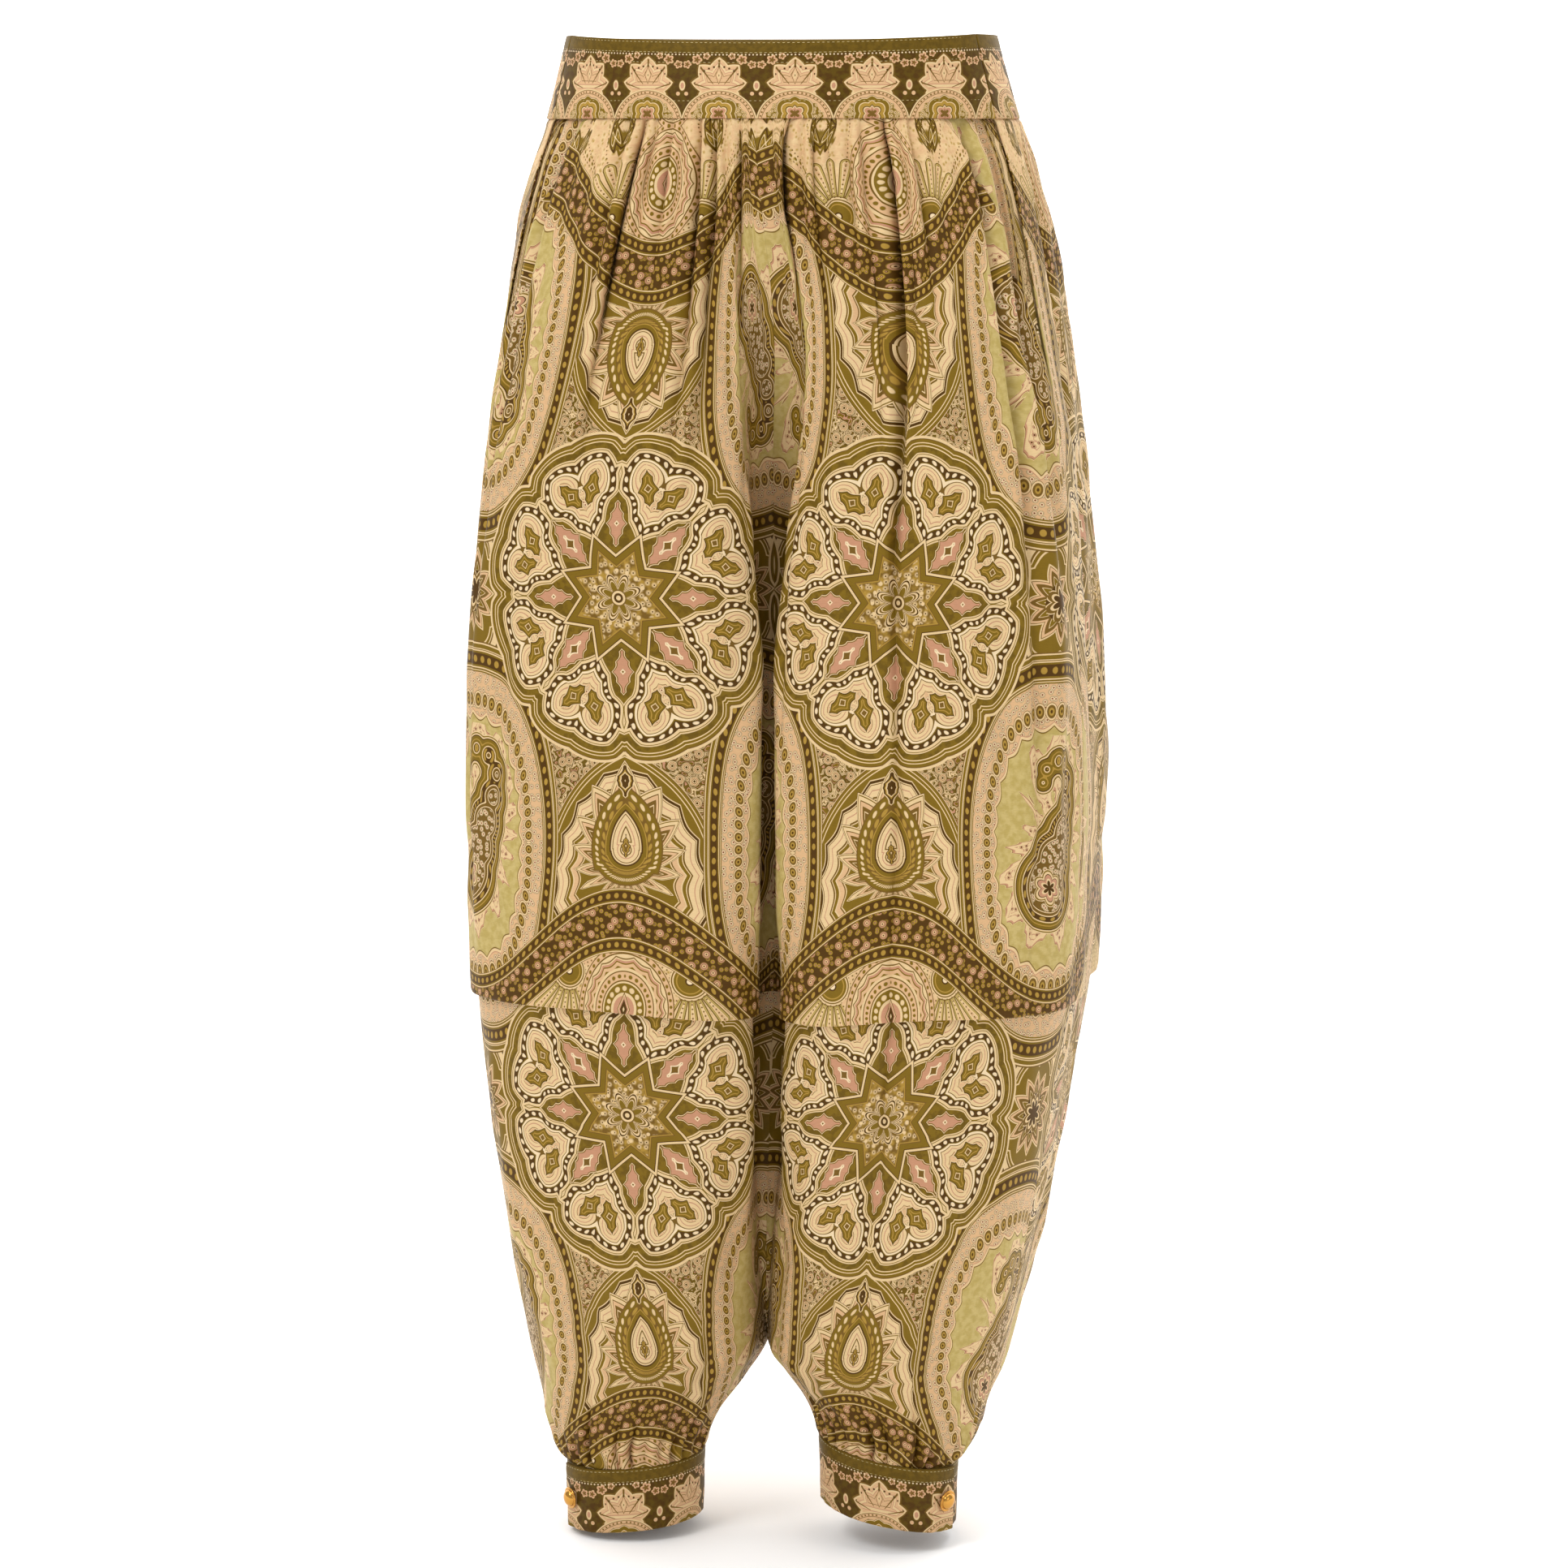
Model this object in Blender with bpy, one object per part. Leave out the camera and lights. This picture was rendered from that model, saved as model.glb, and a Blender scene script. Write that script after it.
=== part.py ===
"""Harem pants, filled out as if worn: one big bag of printed cloth that splits low into two short legs.

Every leg has a front and a back panel, cut in one length and folded into a knee tuck, so the cloth runs
down to the fold, back up inside and down again. Each panel is a grid: across it runs from the centre seam
to the side seam, down it runs from the waist seam to the cuff. Metres, +Z up, front of the garment at -Y.
The origin is the middle of the waist, halfway up the waistband. "left" is the side at -X.
"""

import math

import bmesh
import bpy
import numpy as np
from mathutils import Vector

# Cloth
CLOTH = 0.0012  # one layer, with its seams and drape taken as one wall
BAND_CLOTH = 0.0024  # waistband and cuffs are folded double
SEAM_GAP = 0.0003
SEAM_TILT = 0.0006  # more room along a seam whose two sides lean differently

# Heights
BAND_HEIGHT = 0.053
RIM_Z = BAND_HEIGHT / 2
WAIST_Z = -BAND_HEIGHT / 2
RIM_DIP = 0.005  # the rim is lower at the centre front
TUCK_FOLD_Z = -0.588
TUCK_STITCH_Z = -0.534
CROTCH_Z = -0.825
CUFF_Z = -0.895
CUFF_HEIGHT = 0.043

# The bag, a row for each level. side: how far out the side is. gap: half the gap between the legs.
# front and back: how far each face reaches. square: 2 is an ellipse, 4 nearly a box. front_seam, back_seam
# and side_seam: where the seams lie, front to back. split: 0 is one round body, 1 is two full legs.
BODY_COLUMNS = (
    "z", "side", "gap", "front", "back", "square", "front_seam", "back_seam", "side_seam", "split",
)
BODY = (
    (RIM_Z, 0.1385, 0.012, -0.094, 0.094, 2.1, -0.080, 0.084, -0.036, 0.00),
    (0.0000, 0.1452, 0.012, -0.099, 0.099, 2.1, -0.085, 0.089, -0.038, 0.00),
    (WAIST_Z, 0.1526, 0.012, -0.104, 0.104, 2.1, -0.090, 0.094, -0.040, 0.00),
    (-0.0550, 0.1609, 0.012, -0.111, 0.113, 2.3, -0.088, 0.098, -0.046, 0.10),
    (-0.1000, 0.1714, 0.012, -0.118, 0.124, 2.5, -0.084, 0.102, -0.054, 0.30),
    (-0.1600, 0.1808, 0.011, -0.124, 0.134, 2.8, -0.078, 0.104, -0.062, 0.60),
    (-0.2300, 0.1900, 0.011, -0.128, 0.142, 3.1, -0.071, 0.103, -0.066, 0.88),
    (-0.3100, 0.1972, 0.010, -0.131, 0.147, 3.4, -0.066, 0.101, -0.069, 1.00),
    (-0.4000, 0.2030, 0.010, -0.133, 0.149, 3.6, -0.064, 0.098, -0.070, 1.00),
    (-0.4700, 0.2045, 0.010, -0.133, 0.148, 3.6, -0.063, 0.095, -0.070, 1.00),
    (-0.5200, 0.2005, 0.010, -0.132, 0.146, 3.5, -0.063, 0.092, -0.070, 1.00),
    (-0.5600, 0.1975, 0.010, -0.132, 0.143, 3.5, -0.062, 0.089, -0.070, 1.00),
    (-0.6000, 0.1953, 0.009, -0.131, 0.139, 3.4, -0.062, 0.084, -0.069, 1.00),
    (-0.6500, 0.1900, 0.007, -0.129, 0.130, 3.2, -0.061, 0.074, -0.068, 1.00),
    (-0.7100, 0.1809, 0.004, -0.127, 0.112, 3.0, -0.060, 0.050, -0.067, 1.00),
    (-0.7600, 0.1722, 0.002, -0.125, 0.088, 2.7, -0.057, 0.018, -0.066, 1.00),
    (-0.8000, 0.1644, 0.001, -0.122, 0.060, 2.4, -0.051, -0.014, -0.065, 1.00),
    (CROTCH_Z, 0.1588, 0.001, -0.120, 0.040, 2.2, -0.0412, -0.0388, -0.065, 1.00),
    (-0.8480, 0.1510, 0.013, -0.117, 0.022, 2.1, -0.0475, -0.0475, -0.065, 1.00),
    (-0.8720, 0.1425, 0.031, -0.114, 0.000, 2.0, -0.057, -0.057, -0.066, 1.00),
    (-0.8850, 0.1365, 0.037, -0.112, -0.014, 2.0, -0.063, -0.063, -0.067, 1.00),
    (CUFF_Z, 0.1297, 0.0390, -0.1095, -0.0205, 2.0, -0.065, -0.065, -0.067, 1.00),
)

HOLLOW_DEPTH = 1.5  # the hollow between joined legs runs in by this many times their half gap

# Folds gathered into the waist seam, a row for each, from the centre seam to the side seam. waist and knee:
# its place across the panel at the waist and at the knee, as a share. depth: of the trough. reach: how far
# down it fades out.
FOLD_COLUMNS = ("waist", "knee", "depth", "reach")
FOLDS = {
    ("left", "front"): (
        (0.000, 0.00, 0.0000, 0.10),
        (0.030, 0.03, 0.0015, 0.10),
        (0.065, 0.20, 0.0040, 0.45),
        (0.115, 0.27, 0.0030, 0.16),
        (0.170, 0.33, 0.0050, 0.30),
        (0.230, 0.39, 0.0050, 0.34),
        (0.285, 0.44, 0.0030, 0.13),
        (0.340, 0.49, 0.0040, 0.15),
        (0.395, 0.54, 0.0040, 0.12),
        (0.450, 0.58, 0.0060, 0.26),
        (0.530, 0.64, 0.0040, 0.20),
        (0.620, 0.71, 0.0030, 0.14),
        (0.720, 0.79, 0.0025, 0.12),
        (0.820, 0.86, 0.0045, 0.60),
        (0.920, 0.93, 0.0030, 0.80),
        (1.000, 1.00, 0.0000, 0.10),
    ),
    ("right", "front"): (
        (0.000, 0.00, 0.0000, 0.10),
        (0.060, 0.03, 0.0010, 0.10),
        (0.140, 0.21, 0.0060, 0.50),
        (0.190, 0.26, 0.0030, 0.15),
        (0.240, 0.31, 0.0040, 0.18),
        (0.295, 0.35, 0.0030, 0.12),
        (0.350, 0.39, 0.0035, 0.16),
        (0.410, 0.43, 0.0040, 0.14),
        (0.480, 0.47, 0.0075, 0.85),
        (0.535, 0.53, 0.0035, 0.12),
        (0.590, 0.59, 0.0040, 0.18),
        (0.650, 0.65, 0.0030, 0.14),
        (0.730, 0.72, 0.0025, 0.12),
        (0.820, 0.80, 0.0055, 0.75),
        (0.910, 0.90, 0.0045, 0.35),
        (1.000, 1.00, 0.0000, 0.10),
    ),
    ("left", "back"): (
        (0.000, 0.00, 0.0000, 0.10),
        (0.060, 0.03, 0.0020, 0.12),
        (0.125, 0.16, 0.0050, 0.42),
        (0.190, 0.22, 0.0035, 0.16),
        (0.255, 0.28, 0.0045, 0.26),
        (0.325, 0.34, 0.0030, 0.14),
        (0.390, 0.40, 0.0060, 0.38),
        (0.455, 0.46, 0.0035, 0.15),
        (0.520, 0.52, 0.0045, 0.20),
        (0.590, 0.58, 0.0030, 0.12),
        (0.660, 0.65, 0.0055, 0.30),
        (0.735, 0.72, 0.0030, 0.14),
        (0.810, 0.80, 0.0040, 0.24),
        (0.900, 0.90, 0.0025, 0.16),
        (1.000, 1.00, 0.0000, 0.10),
    ),
    ("right", "back"): (
        (0.000, 0.00, 0.0000, 0.10),
        (0.055, 0.03, 0.0020, 0.10),
        (0.120, 0.15, 0.0055, 0.36),
        (0.180, 0.21, 0.0030, 0.14),
        (0.250, 0.28, 0.0050, 0.32),
        (0.320, 0.34, 0.0035, 0.16),
        (0.385, 0.40, 0.0040, 0.18),
        (0.460, 0.46, 0.0065, 0.45),
        (0.530, 0.53, 0.0030, 0.13),
        (0.600, 0.59, 0.0045, 0.22),
        (0.670, 0.66, 0.0035, 0.15),
        (0.745, 0.73, 0.0050, 0.28),
        (0.820, 0.81, 0.0030, 0.14),
        (0.905, 0.90, 0.0035, 0.40),
        (1.000, 1.00, 0.0000, 0.10),
    ),
}

# Rows of a leg panel, down the cloth: height, and how far the layer stands out from the bag.
TUCK_LAYER = 0.0016
TUCK_FLARE = 0.0024  # the tuck's two layers spread this far apart at the fold
PANEL_ROWS = (
    (WAIST_Z - SEAM_GAP - SEAM_TILT, 0.0),
    (-0.037, 0.0),
    (-0.054, 0.0),
    (-0.080, 0.0),
    (-0.118, 0.0),
    (-0.168, 0.0),
    (-0.228, 0.0),
    (-0.300, 0.0),
    (-0.380, 0.0),
    (-0.455, 0.0),
    (-0.505, 0.0010),
    (TUCK_STITCH_Z, 2 * TUCK_LAYER),
    (-0.560, 0.0040),
    (TUCK_FOLD_Z + 0.0015, 2 * TUCK_FLARE),
    (TUCK_FOLD_Z, 1.5 * TUCK_FLARE),
    (TUCK_FOLD_Z + 0.0015, TUCK_FLARE),
    (-0.560, 0.0020),
    (TUCK_STITCH_Z - 0.0025, TUCK_LAYER),
    (TUCK_STITCH_Z - 0.0017, 0.5 * TUCK_LAYER),
    (TUCK_STITCH_Z - 0.0025, 0.0),
    (-0.560, 0.0),
    (-0.592, 0.0),
    (-0.640, 0.0),
    (-0.700, 0.0),
    (-0.750, 0.0),
    (-0.790, 0.0),
    (-0.812, 0.0),
    (CROTCH_Z, 0.0),
    (-0.848, 0.0),
    (-0.870, 0.0),
    (CUFF_Z + SEAM_GAP, 0.0),
)

# Gathers
SEAM_PRESS = 0.35  # share of a fold's depth that is left where a seam presses it flat
FOLD_RISE = 0.025  # a fold reaches its full depth this far from the seam
FOLD_FADE = 0.25  # it begins to fade after this share of its reach
CREST = 0.40  # the cloth between two folds puffs out by this share of their depth
KNEE_SPREAD_Z = 0.30  # the folds have spread out to their places at the knee this far down,
CUFF_SPREAD_Z = (0.62, 0.88)  # and between these depths they space themselves evenly for the cuff
CUFF_GATHER = 0.0016
CUFF_GATHER_REACH = 0.030

# The way it hangs
VALLEY_LEAN = 0.013  # the centre front hollow opens towards the right
CUFF_TILT = {"left": 0.09, "right": 0.18}  # the inner side of a cuff is higher
BAG_SWAY = 0.0027  # the bag hangs a little to the right,
LEG_SWAY = -0.0045  # and the cuffs and the rim to the left
RIM_SWAY = -0.0018
CUFF_RISE = {"left": -0.0040, "right": 0.0085}  # one cuff hangs lower than the other
KNEE_DROOP = 0.009  # the tuck hangs lower beside the centre front

# Pockets: the front panel is cut away along a slanting mouth
POCKET_TOP_SHARE = 0.74
POCKET_END_Z = -0.195
POCKET_UNDERLAP = 0.012
POCKET_SINK = 0.0026  # the cloth behind the mouth lies this far inside the front panel

# Cuffs and their buttons
CUFF_HALF_WIDTH = 0.0450
CUFF_HALF_DEPTH = 0.0445
CUFF_TAPER = 0.965
CUFF_CENTRE_X = 0.0843
CUFF_CENTRE_Y = -0.065
BUTTON_ANGLE = {"left": math.radians(50), "right": math.radians(58)}  # from the leg's front outwards
LAP_ANGLE = math.radians(13)  # the ends pass each other by this much on both sides of the button
LAP_RAMP = math.radians(40)
BUTTON_RADIUS = 0.0072
BUTTON_DOME = 0.0034
BUTTON_RIM = 0.0012
SHANK_RADIUS = 0.0022
SHANK_LENGTH = 0.0010

# How finely each piece is made
OUTLINE_STEPS = 241
BAND_STEPS = 32
CUFF_STEPS = 38
POCKET_ROWS = 7
BUTTON_STEPS = 16

PRINT_CLOTH = ("printed_cloth", (0.52, 0.45, 0.22, 1.0), 0.62, 0.0)
BORDER_CLOTH = ("border_cloth", (0.35, 0.28, 0.12, 1.0), 0.62, 0.0)
BRASS = ("brass", (0.72, 0.52, 0.22, 1.0), 0.25, 1.0)


def smoothstep(low, high, value):
    """0 below low, 1 above high, and a soft S between them."""
    t = np.clip((value - low) / (high - low), 0.0, 1.0)
    return t * t * (3.0 - 2.0 * t)


def slopes_of(x, y):
    """A slope for each point of a table, such that a cubic through them never overshoots."""
    steps, rises = np.diff(x), np.diff(y) / np.diff(x)
    slopes = np.zeros(len(x))
    for i in range(1, len(x) - 1):
        if rises[i - 1] * rises[i] > 0:
            before, after = 2 * steps[i] + steps[i - 1], steps[i] + 2 * steps[i - 1]
            slopes[i] = (before + after) / (before / rises[i - 1] + after / rises[i])
    slopes[0], slopes[-1] = rises[0], rises[-1]
    return slopes


class SmoothTable:
    """A table's columns, read smoothly at any place along its first column."""

    def __init__(self, names, rows):
        table = np.array(sorted(rows))
        self.at = table[:, 0]
        self.columns = {name: table[:, i] for i, name in enumerate(names) if i}
        self.slopes = {name: slopes_of(self.at, column) for name, column in self.columns.items()}

    def read(self, where):
        where = min(max(where, self.at[0]), self.at[-1])
        i = min(np.searchsorted(self.at, where, side="right"), len(self.at) - 1) - 1
        width = self.at[i + 1] - self.at[i]
        t = (where - self.at[i]) / width
        found = {}
        for name, column in self.columns.items():
            rise = column[i + 1] - column[i]
            start, end = self.slopes[name][i] * width, self.slopes[name][i + 1] * width
            found[name] = column[i] + t * start + t * t * (3 * rise - 2 * start - end)
            found[name] += t * t * t * (start + end - 2 * rise)
        return found


LEVELS = SmoothTable(BODY_COLUMNS, BODY)


def power(value, exponent):
    """A signed power, as a rounded box's outline needs."""
    return np.sign(value) * np.abs(value) ** exponent


def shares_along(x, y):
    """Each point's share of the length of the line, and that length."""
    along = np.concatenate([[0.0], np.cumsum(np.hypot(np.diff(x), np.diff(y)))])
    return along / along[-1], along[-1]


def evenly(x, y):
    """The line again, with its points evenly spaced."""
    share, _ = shares_along(x, y)
    at = np.linspace(0.0, 1.0, OUTLINE_STEPS)
    return np.interp(at, share, x), np.interp(at, share, y)


def half_outline(z, face):
    """One leg's outline at a height, from the centre seam over this face to the side seam, for x > 0."""
    level = LEVELS.read(z)
    towards = -1.0 if face == "front" else 1.0
    middle = (level["front"] + level["back"]) / 2
    deep = (level["back"] - level["front"]) / 2
    bend = 2.0 / level["square"]
    seam = level[face + "_seam"]
    at_seam = math.asin(min(1.0, abs(seam - middle) / deep) ** (1.0 / bend))
    at_side = math.asin(min(1.0, abs(level["side_seam"] - middle) / deep) ** (1.0 / bend))
    if face == "back":
        at_side = -at_side  # the back panel comes round the side to the seam

    turn = np.linspace(math.pi - at_seam, at_side, OUTLINE_STEPS)
    half = (level["side"] - level["gap"]) / 2
    x = level["gap"] + half * (1.0 + power(np.cos(turn), bend))
    y = middle + towards * deep * power(np.sin(turn), bend)
    if z >= CROTCH_Z:  # the two legs join: the hollow between them closes on the seam
        opened = np.clip(np.abs(y - seam) / (HOLLOW_DEPTH * level["gap"]), 0.0, 1.0)
        x = np.where(turn > math.pi / 2, x * np.sqrt(1.0 - (1.0 - opened) ** 2), x)
    leg_x, leg_y = evenly(x, y)

    turn = np.linspace(math.pi / 2, at_side, OUTLINE_STEPS)
    bag_x, bag_y = evenly(
        level["side"] * power(np.cos(turn), bend),
        middle + towards * deep * power(np.sin(turn), bend),
    )
    split = level["split"]
    return evenly(bag_x + split * (leg_x - bag_x), bag_y + split * (leg_y - bag_y))


def fold_values(folds, name, line):
    """A column of a panel's folds, read at each grid line. Whole numbers of line are the folds."""
    column = FOLD_COLUMNS.index(name)
    return np.interp(line, np.arange(len(folds)), [fold[column] for fold in folds])


def fold_shares(folds, line, z):
    """How far across the panel each grid line is at a height."""
    waist, knee = fold_values(folds, "waist", line), fold_values(folds, "knee", line)
    cuff = line / (len(folds) - 1)
    low = smoothstep(-WAIST_Z, KNEE_SPREAD_Z, -z)
    lowest = smoothstep(*CUFF_SPREAD_Z, -z)
    return (waist * (1 - low) + knee * low) * (1 - lowest) + cuff * lowest


def fold_depth(folds, line, z):
    """How far the gathers push the cloth in or out at a height."""
    drop = WAIST_Z - z
    strength = SEAM_PRESS + (1 - SEAM_PRESS) * smoothstep(0.0, FOLD_RISE, drop)
    strength = strength * (1 - smoothstep(FOLD_FADE, 1.0, drop / fold_values(folds, "reach", line)))
    trough = np.cos(math.pi * line) ** 2
    gathered = fold_values(folds, "depth", line) * strength * (CREST * (1 - trough) - trough)
    ends = smoothstep(0.0, 1.0, line) * smoothstep(0.0, 1.0, len(folds) - 1 - line)
    at_cuff = 1 - smoothstep(0.0, CUFF_GATHER_REACH, z - CUFF_Z)
    return gathered * ends + CUFF_GATHER * at_cuff * ends * (0.5 - trough)


def hang(side, x, y, z):
    """The small ways in which the garment hangs out of true. x is positive on both legs here."""
    sign = 1.0 if side == "right" else -1.0
    near_front = np.exp(-((x / 0.075) ** 2)) * smoothstep(0.055, 0.115, -y)
    lean = VALLEY_LEAN * near_front * smoothstep(0.03, 0.20, -z) * (1 - smoothstep(0.66, 0.80, -z))
    sway = BAG_SWAY * smoothstep(0.08, 0.28, -z) * (1 - smoothstep(0.56, 0.66, -z))
    sway = sway + LEG_SWAY * smoothstep(0.60, 0.88, -z) + RIM_SWAY * (1 - smoothstep(-0.03, 0.08, -z))
    at_cuff = smoothstep(0.81, 0.888, -z)
    rise = (CUFF_TILT[side] * (CUFF_CENTRE_X - x) + CUFF_RISE[side]) * at_cuff
    at_knee = smoothstep(0.42, 0.56, -z) * (1 - smoothstep(0.60, 0.74, -z))
    droop = KNEE_DROOP * np.exp(-((x / 0.08) ** 2)) * smoothstep(0.05, 0.12, -y) * at_knee
    return sign * x + lean + sway, y, z + rise - droop


def cloth_points(side, face, line, z, stand_off):
    """Points of a leg panel along one height, before it hangs, with a narrow margin kept along its seams."""
    folds = FOLDS[side, face]
    x, y = half_outline(z, face)
    share, length = shares_along(x, y)
    margin = SEAM_GAP / 2 / length
    wanted = margin + fold_shares(folds, line, z) * (1 - 2 * margin)
    tangent_x, tangent_y = np.gradient(x), np.gradient(y)
    size = np.hypot(tangent_x, tangent_y)
    outward = 1.0 if face == "front" else -1.0
    normal_x = np.interp(wanted, share, outward * tangent_y / size)
    normal_y = np.interp(wanted, share, -outward * tangent_x / size)
    out = stand_off + fold_depth(folds, line, z)
    return np.interp(wanted, share, x) + normal_x * out, np.interp(wanted, share, y) + normal_y * out


def keep_off_centre(x, y, z):
    """Moves a row's first point off the centre plane, so that the other leg's wall has room beside it."""
    if z >= CROTCH_Z:
        lean = abs(y[1] - y[0]) / math.hypot(x[1] - x[0], y[1] - y[0])
        x[0] = max(x[0], SEAM_GAP / 2 + 0.6 * CLOTH * lean)
    return x, y


def finished(name, mesh_maker, finish, wall=0.0):
    """An object of the given name from a filled bmesh, with its material and, on cloth, its wall."""
    mesh = bpy.data.meshes.new(name)
    mesh_maker.to_mesh(mesh)
    mesh_maker.free()
    thing = bpy.data.objects.new(name, mesh)
    bpy.context.scene.collection.objects.link(thing)
    mesh.shade_smooth()
    mesh.materials.append(material_of(*finish))
    if wall:
        solid = thing.modifiers.new("wall", "SOLIDIFY")
        solid.thickness = wall
        solid.offset = 0.0
    return thing


def material_of(name, colour, roughness, metallic):
    """The named material, made the first time that it is asked for."""
    material = bpy.data.materials.get(name)
    if material is None:
        material = bpy.data.materials.new(name)
        material.use_nodes = True
        shader = material.node_tree.nodes["Principled BSDF"]
        shader.inputs["Base Color"].default_value = colour
        shader.inputs["Roughness"].default_value = roughness
        shader.inputs["Metallic"].default_value = metallic
    return material


def grid_sheet(columns, rows):
    """A flat grid to be shaped, and its points listed by row and column."""
    sheet = bmesh.new()
    bmesh.ops.create_grid(sheet, x_segments=columns - 1, y_segments=rows - 1, size=0.5)
    found = {}
    for point in sheet.verts:
        column = round((point.co.x + 0.5) * (columns - 1))
        row = round((0.5 - point.co.y) * (rows - 1))
        found[row, column] = point
    return sheet, found


def panel_sheet(side, face, lines, rows):
    """A grid laid on the bag: a column for each line across the panel, a row for each height down it."""
    sheet, found = grid_sheet(len(lines), len(rows))
    for row, (z, stand_off) in enumerate(rows):
        x, y = keep_off_centre(*cloth_points(side, face, lines, z, stand_off), z)
        x, y, heights = hang(side, x, y, np.full(len(x), z))
        for column in range(len(lines)):
            found[row, column].co = (x[column], y[column], heights[column])
    return sheet


def on_bag(side, share, z):
    """A point of the smooth bag on the front panel, at a share of the way to the side seam."""
    x, y = half_outline(z, "front")
    along, _ = shares_along(x, y)
    x, y, z = hang(side, np.interp(share, along, x), np.interp(share, along, y), z)
    return Vector((float(x), float(y), float(z)))


def cut_at_mouth(sheet, side, moved_in, keep_hip):
    """Cuts a sheet along the pocket mouth, and keeps its hip corner or the rest."""
    top, end = on_bag(side, POCKET_TOP_SHARE, WAIST_Z), on_bag(side, 1.0, POCKET_END_Z)
    slant = (end - top).normalized()
    outward = Vector((top.x + end.x, 1.2 * (top.y + end.y), 0.0)).normalized()
    to_hip = slant.cross(outward).normalized()
    if to_hip.z < 0:
        to_hip = -to_hip
    bmesh.ops.bisect_plane(
        sheet,
        geom=sheet.verts[:] + sheet.edges[:] + sheet.faces[:],
        plane_co=top - to_hip * moved_in,
        plane_no=to_hip,
        clear_inner=keep_hip,
        clear_outer=not keep_hip,
    )
    return sheet


def make_panel(side, face):
    """A leg panel, with its gathers and its knee tuck, in one length from waist to cuff."""
    lines = np.arange(0.0, len(FOLDS[side, face]) - 0.75, 0.5)
    sheet = panel_sheet(side, face, lines, PANEL_ROWS)
    if face == "front":
        cut_at_mouth(sheet, side, 0.0, keep_hip=False)
    return finished(f"{face}_{side}", sheet, PRINT_CLOTH, CLOTH)


def make_pocket(side):
    """The cloth that shows behind a pocket mouth, from just inside the mouth to the side seam."""
    last = len(FOLDS[side, "front"]) - 1
    lines = np.arange(last // 2, last + 0.25, 0.5)
    rows = [(z, -POCKET_SINK) for z, _ in PANEL_ROWS[:POCKET_ROWS]]
    sheet = panel_sheet(side, "front", lines, rows)
    cut_at_mouth(sheet, side, POCKET_UNDERLAP, keep_hip=True)
    return finished(f"pocket_{side}", sheet, PRINT_CLOTH, CLOTH)


def make_waistband(face):
    """Half of the waistband, from side seam to side seam."""
    sheet, found = grid_sheet(BAND_STEPS + 1, 3)
    for row in range(3):
        down = row / 2
        x, y = half_outline(RIM_Z - down * BAND_HEIGHT, face)
        share, length = shares_along(x, y)
        for column in range(BAND_STEPS + 1):
            across = 2 * column / BAND_STEPS - 1
            at = abs(across) * (1 - SEAM_GAP / 2 / length)
            place_x = math.copysign(np.interp(at, share, x), across)
            place_y = np.interp(at, share, y)
            dip = RIM_DIP * (1 - down) * (1 - at * at) if face == "front" else 0.0
            place = hang("right", place_x, place_y, RIM_Z - down * BAND_HEIGHT - dip)
            found[row, column].co = [float(part) for part in place]
    return finished(f"waistband_{face}", sheet, BORDER_CLOTH, BAND_CLOTH)


def cuff_point(side, angle, down, out):
    """A point of a cuff: angle from the front to the outer side, down from its top, out from its wall."""
    size = 1 + (CUFF_TAPER - 1) * down / CUFF_HEIGHT
    x = CUFF_CENTRE_X + (CUFF_HALF_WIDTH * size + out) * math.sin(angle)
    y = CUFF_CENTRE_Y - (CUFF_HALF_DEPTH * size + out) * math.cos(angle)
    x, y, z = hang(side, x, y, CUFF_Z - SEAM_GAP / 2 - down)
    return Vector((float(x), float(y), float(z)))


def lap_rise(side, angle):
    """How far the cuff stands out where its front end passes over its back end."""
    passed = BUTTON_ANGLE[side] - LAP_ANGLE - angle
    return (BAND_CLOTH + SEAM_GAP) * (1 - float(smoothstep(0.0, LAP_RAMP, passed)))


def make_cuff(side):
    """A cuff: a band that goes round the leg and passes over its own end at the button."""
    sheet, found = grid_sheet(CUFF_STEPS + 1, 3)
    start = BUTTON_ANGLE[side] + LAP_ANGLE
    for column in range(CUFF_STEPS + 1):
        angle = start - (2 * math.pi + 2 * LAP_ANGLE) * column / CUFF_STEPS
        for row in range(3):
            found[row, column].co = cuff_point(side, angle, CUFF_HEIGHT * row / 2, lap_rise(side, angle))
    return finished(f"cuff_{side}", sheet, BORDER_CLOTH, BAND_CLOTH)


def button_profile():
    """Half of the button, from the end of its shank round its rim to the top of its dome: radius, height."""
    rim_top = SHANK_LENGTH + BUTTON_RIM
    points = [(0.0, 0.0), (SHANK_RADIUS, 0.0), (SHANK_RADIUS, SHANK_LENGTH), (BUTTON_RADIUS, SHANK_LENGTH)]
    for step in range(6):
        turn = step / 5 * math.pi / 2
        points.append((BUTTON_RADIUS * math.cos(turn), rim_top + BUTTON_DOME * math.sin(turn)))
    return points


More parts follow.
